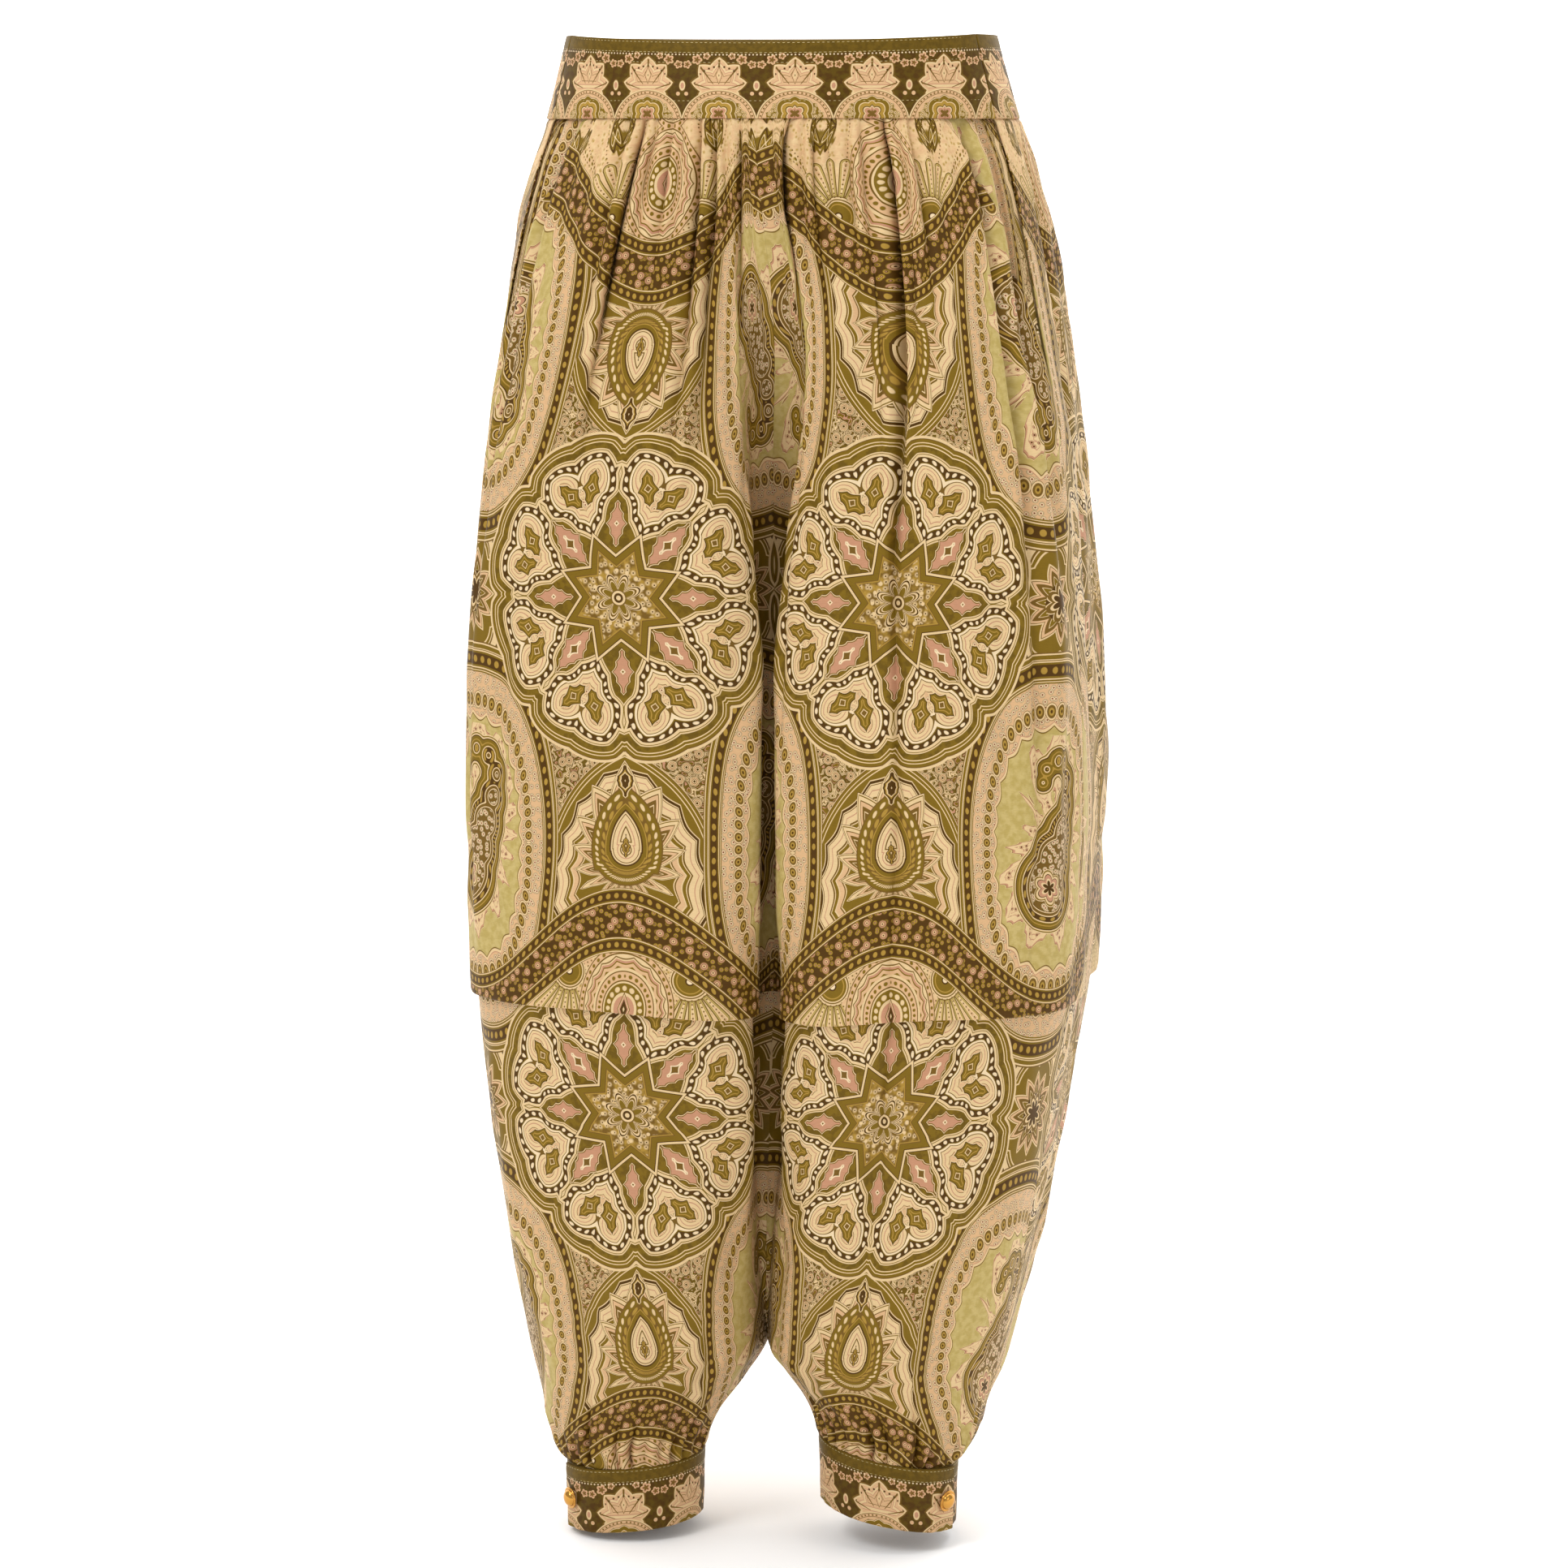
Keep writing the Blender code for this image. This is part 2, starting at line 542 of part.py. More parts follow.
def make_button(side):
    """A domed metal button, standing on the cuff's lap."""
    button = bmesh.new()
    rim = [button.verts.new((radius, 0.0, height)) for radius, height in button_profile()]
    for first, second in zip(rim, rim[1:]):
        button.edges.new((first, second))
    bmesh.ops.spin(
        button,
        geom=button.verts[:] + button.edges[:],
        axis=(0, 0, 1),
        cent=(0, 0, 0),
        angle=2 * math.pi,
        steps=BUTTON_STEPS,
        use_merge=True,
    )
    bmesh.ops.remove_doubles(button, verts=button.verts[:], dist=1e-5)
    bmesh.ops.recalc_face_normals(button, faces=button.faces[:])
    angle = BUTTON_ANGLE[side]
    surface = lap_rise(side, angle) + BAND_CLOTH / 2 + SEAM_GAP
    foot = cuff_point(side, angle, CUFF_HEIGHT / 2, surface)
    outward = cuff_point(side, angle, CUFF_HEIGHT / 2, surface + 0.01) - foot
    turned = outward.to_track_quat("Z", "Y").to_matrix().to_4x4()
    turned.translation = foot
    bmesh.ops.transform(button, matrix=turned, verts=button.verts[:])
    return finished(f"button_{side}", button, BRASS)


def main():
    for thing in list(bpy.data.objects):
        bpy.data.objects.remove(thing)
    for face in ("front", "back"):
        make_waistband(face)
    for side in ("left", "right"):
        for face in ("front", "back"):
            make_panel(side, face)
        make_pocket(side)
        make_cuff(side)
        make_button(side)


main()
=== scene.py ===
"""Harem pants in printed silk, filled out as if worn, front towards the camera.

The cloth is laid on the same bag as the CAD solids, much finer, with its creases, gathers, stitches and
print. Metres, +Z up, front of the garment at -Y. "left" is the side at -X.
"""

import functools
import math

import bmesh
import bpy
import numpy as np
from mathutils import Matrix, Vector, noise


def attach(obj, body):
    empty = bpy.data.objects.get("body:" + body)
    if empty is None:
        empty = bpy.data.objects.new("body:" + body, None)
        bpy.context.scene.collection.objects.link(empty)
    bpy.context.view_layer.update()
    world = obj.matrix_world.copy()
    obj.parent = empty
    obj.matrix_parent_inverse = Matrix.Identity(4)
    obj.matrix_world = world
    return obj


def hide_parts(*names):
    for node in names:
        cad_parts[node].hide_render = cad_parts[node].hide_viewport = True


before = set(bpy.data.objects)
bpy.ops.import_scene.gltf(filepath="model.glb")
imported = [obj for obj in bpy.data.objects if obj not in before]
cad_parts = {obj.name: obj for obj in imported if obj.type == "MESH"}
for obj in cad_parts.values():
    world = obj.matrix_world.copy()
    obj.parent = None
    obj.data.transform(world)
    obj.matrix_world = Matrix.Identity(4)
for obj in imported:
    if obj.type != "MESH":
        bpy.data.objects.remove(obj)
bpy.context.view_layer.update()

# Cloth
BAND_CLOTH = 0.0024  # waistband and cuffs are folded double
SEAM_GAP = 0.0003

# Heights
BAND_HEIGHT = 0.053
RIM_Z = BAND_HEIGHT / 2
WAIST_Z = -BAND_HEIGHT / 2
RIM_DIP = 0.005  # the rim is lower at the centre front
TUCK_FOLD_Z = -0.588
TUCK_STITCH_Z = -0.534
CROTCH_Z = -0.825
CUFF_Z = -0.895
CUFF_HEIGHT = 0.043

# The bag, a row for each level. side: how far out the side is. gap: half the gap between the legs.
# front and back: how far each face reaches. square: 2 is an ellipse, 4 nearly a box. front_seam, back_seam
# and side_seam: where the seams lie, front to back. split: 0 is one round body, 1 is two full legs.
BODY_COLUMNS = (
    "z", "side", "gap", "front", "back", "square", "front_seam", "back_seam", "side_seam", "split",
)
BODY = (
    (RIM_Z, 0.1385, 0.012, -0.094, 0.094, 2.1, -0.080, 0.084, -0.036, 0.00),
    (0.0000, 0.1452, 0.012, -0.099, 0.099, 2.1, -0.085, 0.089, -0.038, 0.00),
    (WAIST_Z, 0.1526, 0.012, -0.104, 0.104, 2.1, -0.090, 0.094, -0.040, 0.00),
    (-0.0550, 0.1609, 0.012, -0.111, 0.113, 2.3, -0.088, 0.098, -0.046, 0.10),
    (-0.1000, 0.1714, 0.012, -0.118, 0.124, 2.5, -0.084, 0.102, -0.054, 0.30),
    (-0.1600, 0.1808, 0.011, -0.124, 0.134, 2.8, -0.078, 0.104, -0.062, 0.60),
    (-0.2300, 0.1900, 0.011, -0.128, 0.142, 3.1, -0.071, 0.103, -0.066, 0.88),
    (-0.3100, 0.1972, 0.010, -0.131, 0.147, 3.4, -0.066, 0.101, -0.069, 1.00),
    (-0.4000, 0.2030, 0.010, -0.133, 0.149, 3.6, -0.064, 0.098, -0.070, 1.00),
    (-0.4700, 0.2045, 0.010, -0.133, 0.148, 3.6, -0.063, 0.095, -0.070, 1.00),
    (-0.5200, 0.2005, 0.010, -0.132, 0.146, 3.5, -0.063, 0.092, -0.070, 1.00),
    (-0.5600, 0.1975, 0.010, -0.132, 0.143, 3.5, -0.062, 0.089, -0.070, 1.00),
    (-0.6000, 0.1953, 0.009, -0.131, 0.139, 3.4, -0.062, 0.084, -0.069, 1.00),
    (-0.6500, 0.1900, 0.007, -0.129, 0.130, 3.2, -0.061, 0.074, -0.068, 1.00),
    (-0.7100, 0.1809, 0.004, -0.127, 0.112, 3.0, -0.060, 0.050, -0.067, 1.00),
    (-0.7600, 0.1722, 0.002, -0.125, 0.088, 2.7, -0.057, 0.018, -0.066, 1.00),
    (-0.8000, 0.1644, 0.001, -0.122, 0.060, 2.4, -0.051, -0.014, -0.065, 1.00),
    (CROTCH_Z, 0.1588, 0.001, -0.120, 0.040, 2.2, -0.0412, -0.0388, -0.065, 1.00),
    (-0.8480, 0.1510, 0.013, -0.117, 0.022, 2.1, -0.0475, -0.0475, -0.065, 1.00),
    (-0.8720, 0.1425, 0.031, -0.114, 0.000, 2.0, -0.057, -0.057, -0.066, 1.00),
    (-0.8850, 0.1365, 0.037, -0.112, -0.014, 2.0, -0.063, -0.063, -0.067, 1.00),
    (CUFF_Z, 0.1297, 0.0390, -0.1095, -0.0205, 2.0, -0.065, -0.065, -0.067, 1.00),
)

HOLLOW_DEPTH = 1.5  # the hollow between joined legs runs in by this many times their half gap

# Folds gathered into the waist seam, a row for each, from the centre seam to the side seam. waist and knee:
# its place across the panel at the waist and at the knee, as a share. depth: of the trough. reach: how far
# down it fades out.
FOLD_COLUMNS = ("waist", "knee", "depth", "reach")
FOLDS = {
    ("left", "front"): (
        (0.000, 0.00, 0.0000, 0.10),
        (0.030, 0.03, 0.0015, 0.10),
        (0.065, 0.20, 0.0040, 0.45),
        (0.115, 0.27, 0.0030, 0.16),
        (0.170, 0.33, 0.0050, 0.30),
        (0.230, 0.39, 0.0050, 0.34),
        (0.285, 0.44, 0.0030, 0.13),
        (0.340, 0.49, 0.0040, 0.15),
        (0.395, 0.54, 0.0040, 0.12),
        (0.450, 0.58, 0.0060, 0.26),
        (0.530, 0.64, 0.0040, 0.20),
        (0.620, 0.71, 0.0030, 0.14),
        (0.720, 0.79, 0.0025, 0.12),
        (0.820, 0.86, 0.0045, 0.60),
        (0.920, 0.93, 0.0030, 0.80),
        (1.000, 1.00, 0.0000, 0.10),
    ),
    ("right", "front"): (
        (0.000, 0.00, 0.0000, 0.10),
        (0.060, 0.03, 0.0010, 0.10),
        (0.140, 0.21, 0.0060, 0.50),
        (0.190, 0.26, 0.0030, 0.15),
        (0.240, 0.31, 0.0040, 0.18),
        (0.295, 0.35, 0.0030, 0.12),
        (0.350, 0.39, 0.0035, 0.16),
        (0.410, 0.43, 0.0040, 0.14),
        (0.480, 0.47, 0.0075, 0.85),
        (0.535, 0.53, 0.0035, 0.12),
        (0.590, 0.59, 0.0040, 0.18),
        (0.650, 0.65, 0.0030, 0.14),
        (0.730, 0.72, 0.0025, 0.12),
        (0.820, 0.80, 0.0055, 0.75),
        (0.910, 0.90, 0.0045, 0.35),
        (1.000, 1.00, 0.0000, 0.10),
    ),
    ("left", "back"): (
        (0.000, 0.00, 0.0000, 0.10),
        (0.060, 0.03, 0.0020, 0.12),
        (0.125, 0.16, 0.0050, 0.42),
        (0.190, 0.22, 0.0035, 0.16),
        (0.255, 0.28, 0.0045, 0.26),
        (0.325, 0.34, 0.0030, 0.14),
        (0.390, 0.40, 0.0060, 0.38),
        (0.455, 0.46, 0.0035, 0.15),
        (0.520, 0.52, 0.0045, 0.20),
        (0.590, 0.58, 0.0030, 0.12),
        (0.660, 0.65, 0.0055, 0.30),
        (0.735, 0.72, 0.0030, 0.14),
        (0.810, 0.80, 0.0040, 0.24),
        (0.900, 0.90, 0.0025, 0.16),
        (1.000, 1.00, 0.0000, 0.10),
    ),
    ("right", "back"): (
        (0.000, 0.00, 0.0000, 0.10),
        (0.055, 0.03, 0.0020, 0.10),
        (0.120, 0.15, 0.0055, 0.36),
        (0.180, 0.21, 0.0030, 0.14),
        (0.250, 0.28, 0.0050, 0.32),
        (0.320, 0.34, 0.0035, 0.16),
        (0.385, 0.40, 0.0040, 0.18),
        (0.460, 0.46, 0.0065, 0.45),
        (0.530, 0.53, 0.0030, 0.13),
        (0.600, 0.59, 0.0045, 0.22),
        (0.670, 0.66, 0.0035, 0.15),
        (0.745, 0.73, 0.0050, 0.28),
        (0.820, 0.81, 0.0030, 0.14),
        (0.905, 0.90, 0.0035, 0.40),
        (1.000, 1.00, 0.0000, 0.10),
    ),
}

# Gathers
SEAM_PRESS = 0.35  # share of a fold's depth that is left where a seam presses it flat
FOLD_RISE = 0.025  # a fold reaches its full depth this far from the seam
FOLD_FADE = 0.25  # it begins to fade after this share of its reach
CREST = 0.40  # the cloth between two folds puffs out by this share of their depth
KNEE_SPREAD_Z = 0.30  # the folds have spread out to their places at the knee this far down,
CUFF_SPREAD_Z = (0.62, 0.88)  # and between these depths they space themselves evenly for the cuff

# The way it hangs
VALLEY_LEAN = 0.013  # the centre front hollow opens towards the right
CUFF_TILT = {"left": 0.09, "right": 0.18}  # the inner side of a cuff is higher
BAG_SWAY = 0.0027  # the bag hangs a little to the right,
LEG_SWAY = -0.0045  # and the cuffs and the rim to the left
RIM_SWAY = -0.0018
CUFF_RISE = {"left": -0.0040, "right": 0.0085}  # one cuff hangs lower than the other
KNEE_DROOP = 0.009  # the tuck hangs lower beside the centre front
# Where each of these sets in, and where it fades, measured down from the waistband's middle.
LEAN_STARTS, LEAN_FADES = (0.03, 0.20), (0.66, 0.80)
BAG_SWAY_STARTS, BAG_SWAY_FADES = (0.08, 0.28), (0.56, 0.66)
LEG_SWAY_STARTS = (0.60, 0.88)
RIM_SWAY_FADES = (-0.03, 0.08)
CUFF_RISE_STARTS = (0.81, 0.888)
DROOP_STARTS, DROOP_FADES = (0.42, 0.56), (0.60, 0.74)

# Pockets: the front panel is cut away along a slanting mouth
POCKET_TOP_SHARE = 0.74
POCKET_END_Z = -0.195
POCKET_UNDERLAP = 0.012
POCKET_SINK = 0.0020  # the cloth behind the mouth lies this far inside the front panel

# Cuffs and their buttons
CUFF_HALF_WIDTH = 0.0450
CUFF_HALF_DEPTH = 0.0445
CUFF_TAPER = 0.965
CUFF_CENTRE_X = 0.0843
CUFF_CENTRE_Y = -0.065
BUTTON_ANGLE = {"left": math.radians(50), "right": math.radians(58)}  # from the leg's front outwards
LAP_ANGLE = math.radians(13)  # the ends pass each other by this much on both sides of the button
LAP_RAMP = math.radians(40)
BUTTON_RADIUS = 0.0072
BUTTON_DOME = 0.0034
BUTTON_RIM = 0.0012
SHANK_RADIUS = 0.0022
SHANK_LENGTH = 0.0010

OUTLINE_STEPS = 361


def smoothstep(low, high, value):
    """0 below low, 1 above high, and a soft S between them."""
    t = np.clip((value - low) / (high - low), 0.0, 1.0)
    return t * t * (3.0 - 2.0 * t)


def slopes_of(x, y):
    """A slope for each point of a table, such that a cubic through them never overshoots."""
    steps, rises = np.diff(x), np.diff(y) / np.diff(x)
    slopes = np.zeros(len(x))
    for i in range(1, len(x) - 1):
        if rises[i - 1] * rises[i] > 0:
            before, after = 2 * steps[i] + steps[i - 1], steps[i] + 2 * steps[i - 1]
            slopes[i] = (before + after) / (before / rises[i - 1] + after / rises[i])
    slopes[0], slopes[-1] = rises[0], rises[-1]
    return slopes


class SmoothTable:
    """A table's columns, read smoothly at any place along its first column."""

    def __init__(self, names, rows):
        table = np.array(sorted(rows))
        self.at = table[:, 0]
        self.columns = {name: table[:, i] for i, name in enumerate(names) if i}
        self.slopes = {name: slopes_of(self.at, column) for name, column in self.columns.items()}

    def read(self, where):
        """Each column's value there, by its name."""
        where = min(max(where, self.at[0]), self.at[-1])
        i = min(np.searchsorted(self.at, where, side="right"), len(self.at) - 1) - 1
        width = self.at[i + 1] - self.at[i]
        t = (where - self.at[i]) / width
        found = {}
        for name, column in self.columns.items():
            rise = column[i + 1] - column[i]
            start, end = self.slopes[name][i] * width, self.slopes[name][i + 1] * width
            found[name] = column[i] + t * start + t * t * (3 * rise - 2 * start - end)
            found[name] += t * t * t * (start + end - 2 * rise)
        return found


LEVELS = SmoothTable(BODY_COLUMNS, BODY)


def power(value, exponent):
    """A signed power, as a rounded box's outline needs."""
    return np.sign(value) * np.abs(value) ** exponent


def shares_along(x, y):
    """Each point's share of the length of the line, and that length."""
    along = np.concatenate([[0.0], np.cumsum(np.hypot(np.diff(x), np.diff(y)))])
    return along / along[-1], along[-1]


def evenly(x, y):
    """The line again, with its points evenly spaced."""
    share, _ = shares_along(x, y)
    at = np.linspace(0.0, 1.0, OUTLINE_STEPS)
    return np.interp(at, share, x), np.interp(at, share, y)


@functools.lru_cache(maxsize=None)
def half_outline(z, face):
    """One leg's outline at a height, from the centre seam over this face to the side seam, for x > 0."""
    level = LEVELS.read(z)
    towards = -1.0 if face == "front" else 1.0
    middle = (level["front"] + level["back"]) / 2
    deep = (level["back"] - level["front"]) / 2
    bend = 2.0 / level["square"]
    seam = level[face + "_seam"]
    at_seam = math.asin(min(1.0, abs(seam - middle) / deep) ** (1.0 / bend))
    at_side = math.asin(min(1.0, abs(level["side_seam"] - middle) / deep) ** (1.0 / bend))
    if face == "back":
        at_side = -at_side  # the back panel comes round the side to the seam

    turn = np.linspace(math.pi - at_seam, at_side, OUTLINE_STEPS)
    half = (level["side"] - level["gap"]) / 2
    x = level["gap"] + half * (1.0 + power(np.cos(turn), bend))
    y = middle + towards * deep * power(np.sin(turn), bend)
    if z >= CROTCH_Z:  # the two legs join: the hollow between them closes on the seam
        opened = np.clip(np.abs(y - seam) / (HOLLOW_DEPTH * level["gap"]), 0.0, 1.0)
        x = np.where(turn > math.pi / 2, x * np.sqrt(1.0 - (1.0 - opened) ** 2), x)
    leg_x, leg_y = evenly(x, y)

    turn = np.linspace(math.pi / 2, at_side, OUTLINE_STEPS)
    bag_x, bag_y = evenly(
        level["side"] * power(np.cos(turn), bend),
        middle + towards * deep * power(np.sin(turn), bend),
    )
    split = level["split"]
    return evenly(bag_x + split * (leg_x - bag_x), bag_y + split * (leg_y - bag_y))


def fold_values(folds, name, line):
    """A column of a panel's folds, read at each grid line. Whole numbers of line are the folds."""
    column = FOLD_COLUMNS.index(name)
    return np.interp(line, np.arange(len(folds)), [fold[column] for fold in folds])


def fold_shares(folds, line, z):
    """How far across the panel each grid line is at a height."""
    waist, knee = fold_values(folds, "waist", line), fold_values(folds, "knee", line)
    cuff = line / (len(folds) - 1)
    low = smoothstep(-WAIST_Z, KNEE_SPREAD_Z, -z)
    lowest = smoothstep(*CUFF_SPREAD_Z, -z)
    return (waist * (1 - low) + knee * low) * (1 - lowest) + cuff * lowest


def hang(side, x, y, z):
    """The small ways in which the garment hangs out of true. x is positive on both legs here."""
    sign = 1.0 if side == "right" else -1.0
    near_front = np.exp(-((x / 0.075) ** 2)) * smoothstep(0.055, 0.115, -y)
    lean = VALLEY_LEAN * near_front * smoothstep(*LEAN_STARTS, -z) * (1 - smoothstep(*LEAN_FADES, -z))
    sway = BAG_SWAY * smoothstep(*BAG_SWAY_STARTS, -z) * (1 - smoothstep(*BAG_SWAY_FADES, -z))
    sway = sway + LEG_SWAY * smoothstep(*LEG_SWAY_STARTS, -z)
    sway = sway + RIM_SWAY * (1 - smoothstep(*RIM_SWAY_FADES, -z))
    rise = (CUFF_TILT[side] * (CUFF_CENTRE_X - x) + CUFF_RISE[side]) * smoothstep(*CUFF_RISE_STARTS, -z)
    at_knee = smoothstep(*DROOP_STARTS, -z) * (1 - smoothstep(*DROOP_FADES, -z))
    droop = KNEE_DROOP * np.exp(-((x / 0.08) ** 2)) * smoothstep(0.05, 0.12, -y) * at_knee
    return sign * x + lean + sway, y, z + rise - droop


# ---- cloth -------------------------------------------------------------------------------------------

SHEET = 0.0008  # one layer of cloth as it looks
STEPS_PER_FOLD = 9
ROW_STEP = 0.0034
TUCK_LAYER = 0.0016
TUCK_FLARE = 0.0024
TUCK_TOP = TUCK_STITCH_Z - 0.0025
TUCK_START_Z = -0.490  # the cloth begins to stand out here for the layers under it
TUCK_ROUND = 0.0015  # the tuck's edge turns this far above its lowest point
ROWS_BELOW_TUCK = 92
GATHER_DEPTH = 1.5  # the fine cloth folds deeper than the solids' wall can,
USUAL_DEPTH = 0.0050  # most of all where a fold is deeper than this
DEEPEST = 0.0125
CREASE_SHARE = 0.70  # how much of a trough is its narrow crease
CREASE_NARROW = 0.0026
CREASE_WIDE = 0.0075
CREASE_POWER = 1.5
CREASE_WIDE_DROP = 0.35  # a crease is at its widest this far below the waist
EXTRA_DEPTH_FADE = (0.14, 0.34)  # half of the depth goes between these distances below the waist
LAP_FADE = (0.12, 0.28)
PUCKER = 0.0006  # small puckers along the waist seam, and how far down they go
PUCKER_REACH = 0.010
BEHIND_BAND = 0.0046  # the panels reach up behind the waistband
AT_BAND = (-0.0008, 0.0014)  # the gathers end where they pass behind it
TUCK_TAKE = 4.0  # the hidden layers take up more of the print than they are long
CUFF_DEPTH = 0.0085  # how deep the small gathers above the cuffs are
CUFF_CREASE = 0.0021
CUFF_CREASE_REACH = 0.062
CUFF_CREST = 0.25  # the cloth between them puffs out by this share
CREASE_BEND = 0.012  # each listed crease wanders sideways by this share of the panel
SWELL_SLANT = 7.0
# A panel's first rows lie behind the waistband, and its last inside the cuff: height, and how far out.
TOP_ROWS = (
    (WAIST_Z + BEHIND_BAND - 0.0006, -0.0024),
    (WAIST_Z + 0.0010, -0.0021),
    (WAIST_Z - 0.0006, -0.0008),
)
LAST_ROWS = ((CUFF_Z - 0.0008, -0.0012), (CUFF_Z - 0.0040, -0.0024))
LAP_SHARE = 0.45  # one side of a crease laps over it by this share of its depth
CREASE_PACKING = 0.62  # grid lines crowd towards the creases
STAR_AXIS_INWARD = 0.006
KNEE_WIDTH_Z = -0.300
STRAIGHT_Z = -0.600
CLOTH_FULLNESS = 1.25  # the flat cloth is this much wider than the bag's outline
HAND = {"left": 1.0, "right": -1.0}  # the print is counted from the centre seam, each way
POCKET_PRINT_MOVED = (0.055, 0.090)  # the pocket's cloth shows another place of the print
POCKET_LONG = 0.235  # and is cut this long
INSIDE_LEG = (0.3, 0.02)  # a place inside the leg: a share of how far out the pocket lies, and y

# Creases listed for each panel, from one place to another. share: 0 at the centre seam, 1 at the side
# seam. rise: how far the ridge stands out; negative is a trough.
CREASE_COLUMNS = ("share_top", "z_top", "share_low", "z_low", "half_width", "rise")
CREASES = {
    ("left", "front"): (
        (0.10, -0.10, 0.24, -0.52, 0.010, 0.0045),
        (0.22, -0.06, 0.36, -0.34, 0.008, -0.0035),
        (0.40, -0.05, 0.52, -0.30, 0.010, 0.0030),
        (0.55, -0.12, 0.60, -0.50, 0.012, -0.0025),
        (0.74, -0.24, 0.78, -0.56, 0.008, -0.0040),
        (0.84, -0.30, 0.86, -0.58, 0.009, 0.0040),
        (0.93, -0.32, 0.90, -0.57, 0.008, -0.0045),
        (0.20, -0.60, 0.12, -0.84, 0.013, 0.0030),
        (0.36, -0.62, 0.44, -0.86, 0.010, -0.0028),
        (0.55, -0.74, 0.50, -0.89, 0.009, 0.0035),
        (0.70, -0.64, 0.66, -0.87, 0.011, -0.0030),
        (0.84, -0.62, 0.80, -0.88, 0.010, 0.0030),
        (0.28, -0.80, 0.34, -0.893, 0.006, -0.0040),
    ),
    ("right", "front"): (
        (0.12, -0.08, 0.22, -0.54, 0.010, 0.0050),
        (0.28, -0.05, 0.33, -0.30, 0.009, 0.0030),
        (0.40, -0.06, 0.42, -0.36, 0.010, -0.0030),
        (0.58, -0.10, 0.58, -0.40, 0.011, 0.0030),
        (0.70, -0.16, 0.72, -0.56, 0.009, -0.0035),
        (0.86, -0.16, 0.86, -0.58, 0.009, 0.0045),
        (0.92, -0.13, 0.93, -0.34, 0.007, -0.0050),
        (0.30, -0.60, 0.26, -0.85, 0.012, 0.0028),
        (0.46, -0.59, 0.47, -0.80, 0.006, -0.0040),
        (0.62, -0.62, 0.58, -0.88, 0.011, 0.0030),
        (0.76, -0.64, 0.70, -0.88, 0.010, -0.0035),
        (0.14, -0.70, 0.20, -0.87, 0.010, -0.0030),
        (0.40, -0.80, 0.36, -0.893, 0.006, 0.0040),
    ),
    ("left", "back"): (
        (0.12, -0.06, 0.16, -0.50, 0.012, 0.0045),
        (0.26, -0.05, 0.28, -0.34, 0.010, -0.0035),
        (0.40, -0.08, 0.42, -0.44, 0.011, 0.0035),
        (0.56, -0.05, 0.60, -0.30, 0.010, -0.0030),
        (0.70, -0.10, 0.74, -0.52, 0.011, 0.0040),
        (0.84, -0.20, 0.86, -0.56, 0.010, -0.0040),
        (0.24, -0.60, 0.30, -0.86, 0.013, 0.0035),
        (0.46, -0.60, 0.48, -0.84, 0.012, -0.0035),
        (0.66, -0.62, 0.62, -0.88, 0.011, 0.0030),
        (0.82, -0.64, 0.78, -0.88, 0.010, -0.0030),
    ),
    ("right", "back"): (
        (0.14, -0.05, 0.20, -0.46, 0.012, 0.0040),
        (0.30, -0.06, 0.32, -0.38, 0.010, -0.0035),
        (0.46, -0.05, 0.48, -0.50, 0.011, 0.0040),
        (0.62, -0.08, 0.66, -0.34, 0.010, -0.0030),
        (0.78, -0.10, 0.80, -0.54, 0.011, 0.0040),
        (0.90, -0.16, 0.90, -0.50, 0.009, -0.0035),
        (0.18, -0.60, 0.26, -0.86, 0.013, -0.0035),
        (0.40, -0.60, 0.42, -0.86, 0.012, 0.0035),
        (0.60, -0.62, 0.58, -0.86, 0.011, -0.0030),
        (0.80, -0.64, 0.74, -0.88, 0.010, 0.0030),
    ),
}

# Slow swells of the cloth: pitch across, pitch down, start across, start down, height.
SWELL_COLUMNS = ("across", "down", "phase_across", "phase_down", "height")
SWELLS = (
    (0.140, 0.310, 0.4, 0.9, 0.0016),
    (0.083, 0.190, 2.1, 4.0, 0.0011),
    (0.051, 0.127, 5.2, 1.3, 0.0007),
    (0.029, 0.078, 3.3, 2.6, 0.0004),
)

# The cloth folds over beside the hollow at the centre front. from_seam: how far the fold's edge lies from
# the centre seam, round the hollow. right_over and left_over: how far it stands out over the hollow on each
# side. sink: how much deeper the thin cloth lies in the hollow than the solids do.
OVERLAP_COLUMNS = ("z", "from_seam", "right_over", "left_over", "sink")
OVERLAP = (
    (-0.760, 0.040, 0.0000, 0.0000, 0.0000),
    (-0.660, 0.046, 0.0180, 0.0050, 0.0060),
    (-0.500, 0.050, 0.0260, 0.0100, 0.0095),
    (-0.300, 0.050, 0.0240, 0.0090, 0.0095),
    (-0.220, 0.043, 0.0200, 0.0080, 0.0080),
    (-0.150, 0.032, 0.0150, 0.0060, 0.0055),
    (-0.080, 0.023, 0.0090, 0.0030, 0.0025),
    (-0.040, 0.019, 0.0040, 0.0010, 0.0005),
    (-0.025, 0.018, 0.0000, 0.0000, 0.0000),
)
OVERLAP_FORWARD = 0.25  # as a share of how far it stands over
OVERLAP_EDGE = 0.010  # how sharply the fold turns
OVERLAP_FADE = 0.110


def fold_over(side, z, from_seam):
    """How far the cloth beside the centre front hollow is drawn over it, and how far it sinks in it."""
    heights = [row[0] for row in OVERLAP]
    facts = {}
    for column, name in enumerate(OVERLAP_COLUMNS):
        facts[name] = np.interp(z, heights, [row[column] for row in OVERLAP])
    edge = facts["from_seam"]
    rise = smoothstep(edge - OVERLAP_EDGE, edge, from_seam)
    over = facts[side + "_over"] * rise * (1 - smoothstep(edge, edge + OVERLAP_FADE, from_seam))
    return over, facts["sink"] * (1 - smoothstep(edge - 2 * OVERLAP_EDGE, edge, from_seam))


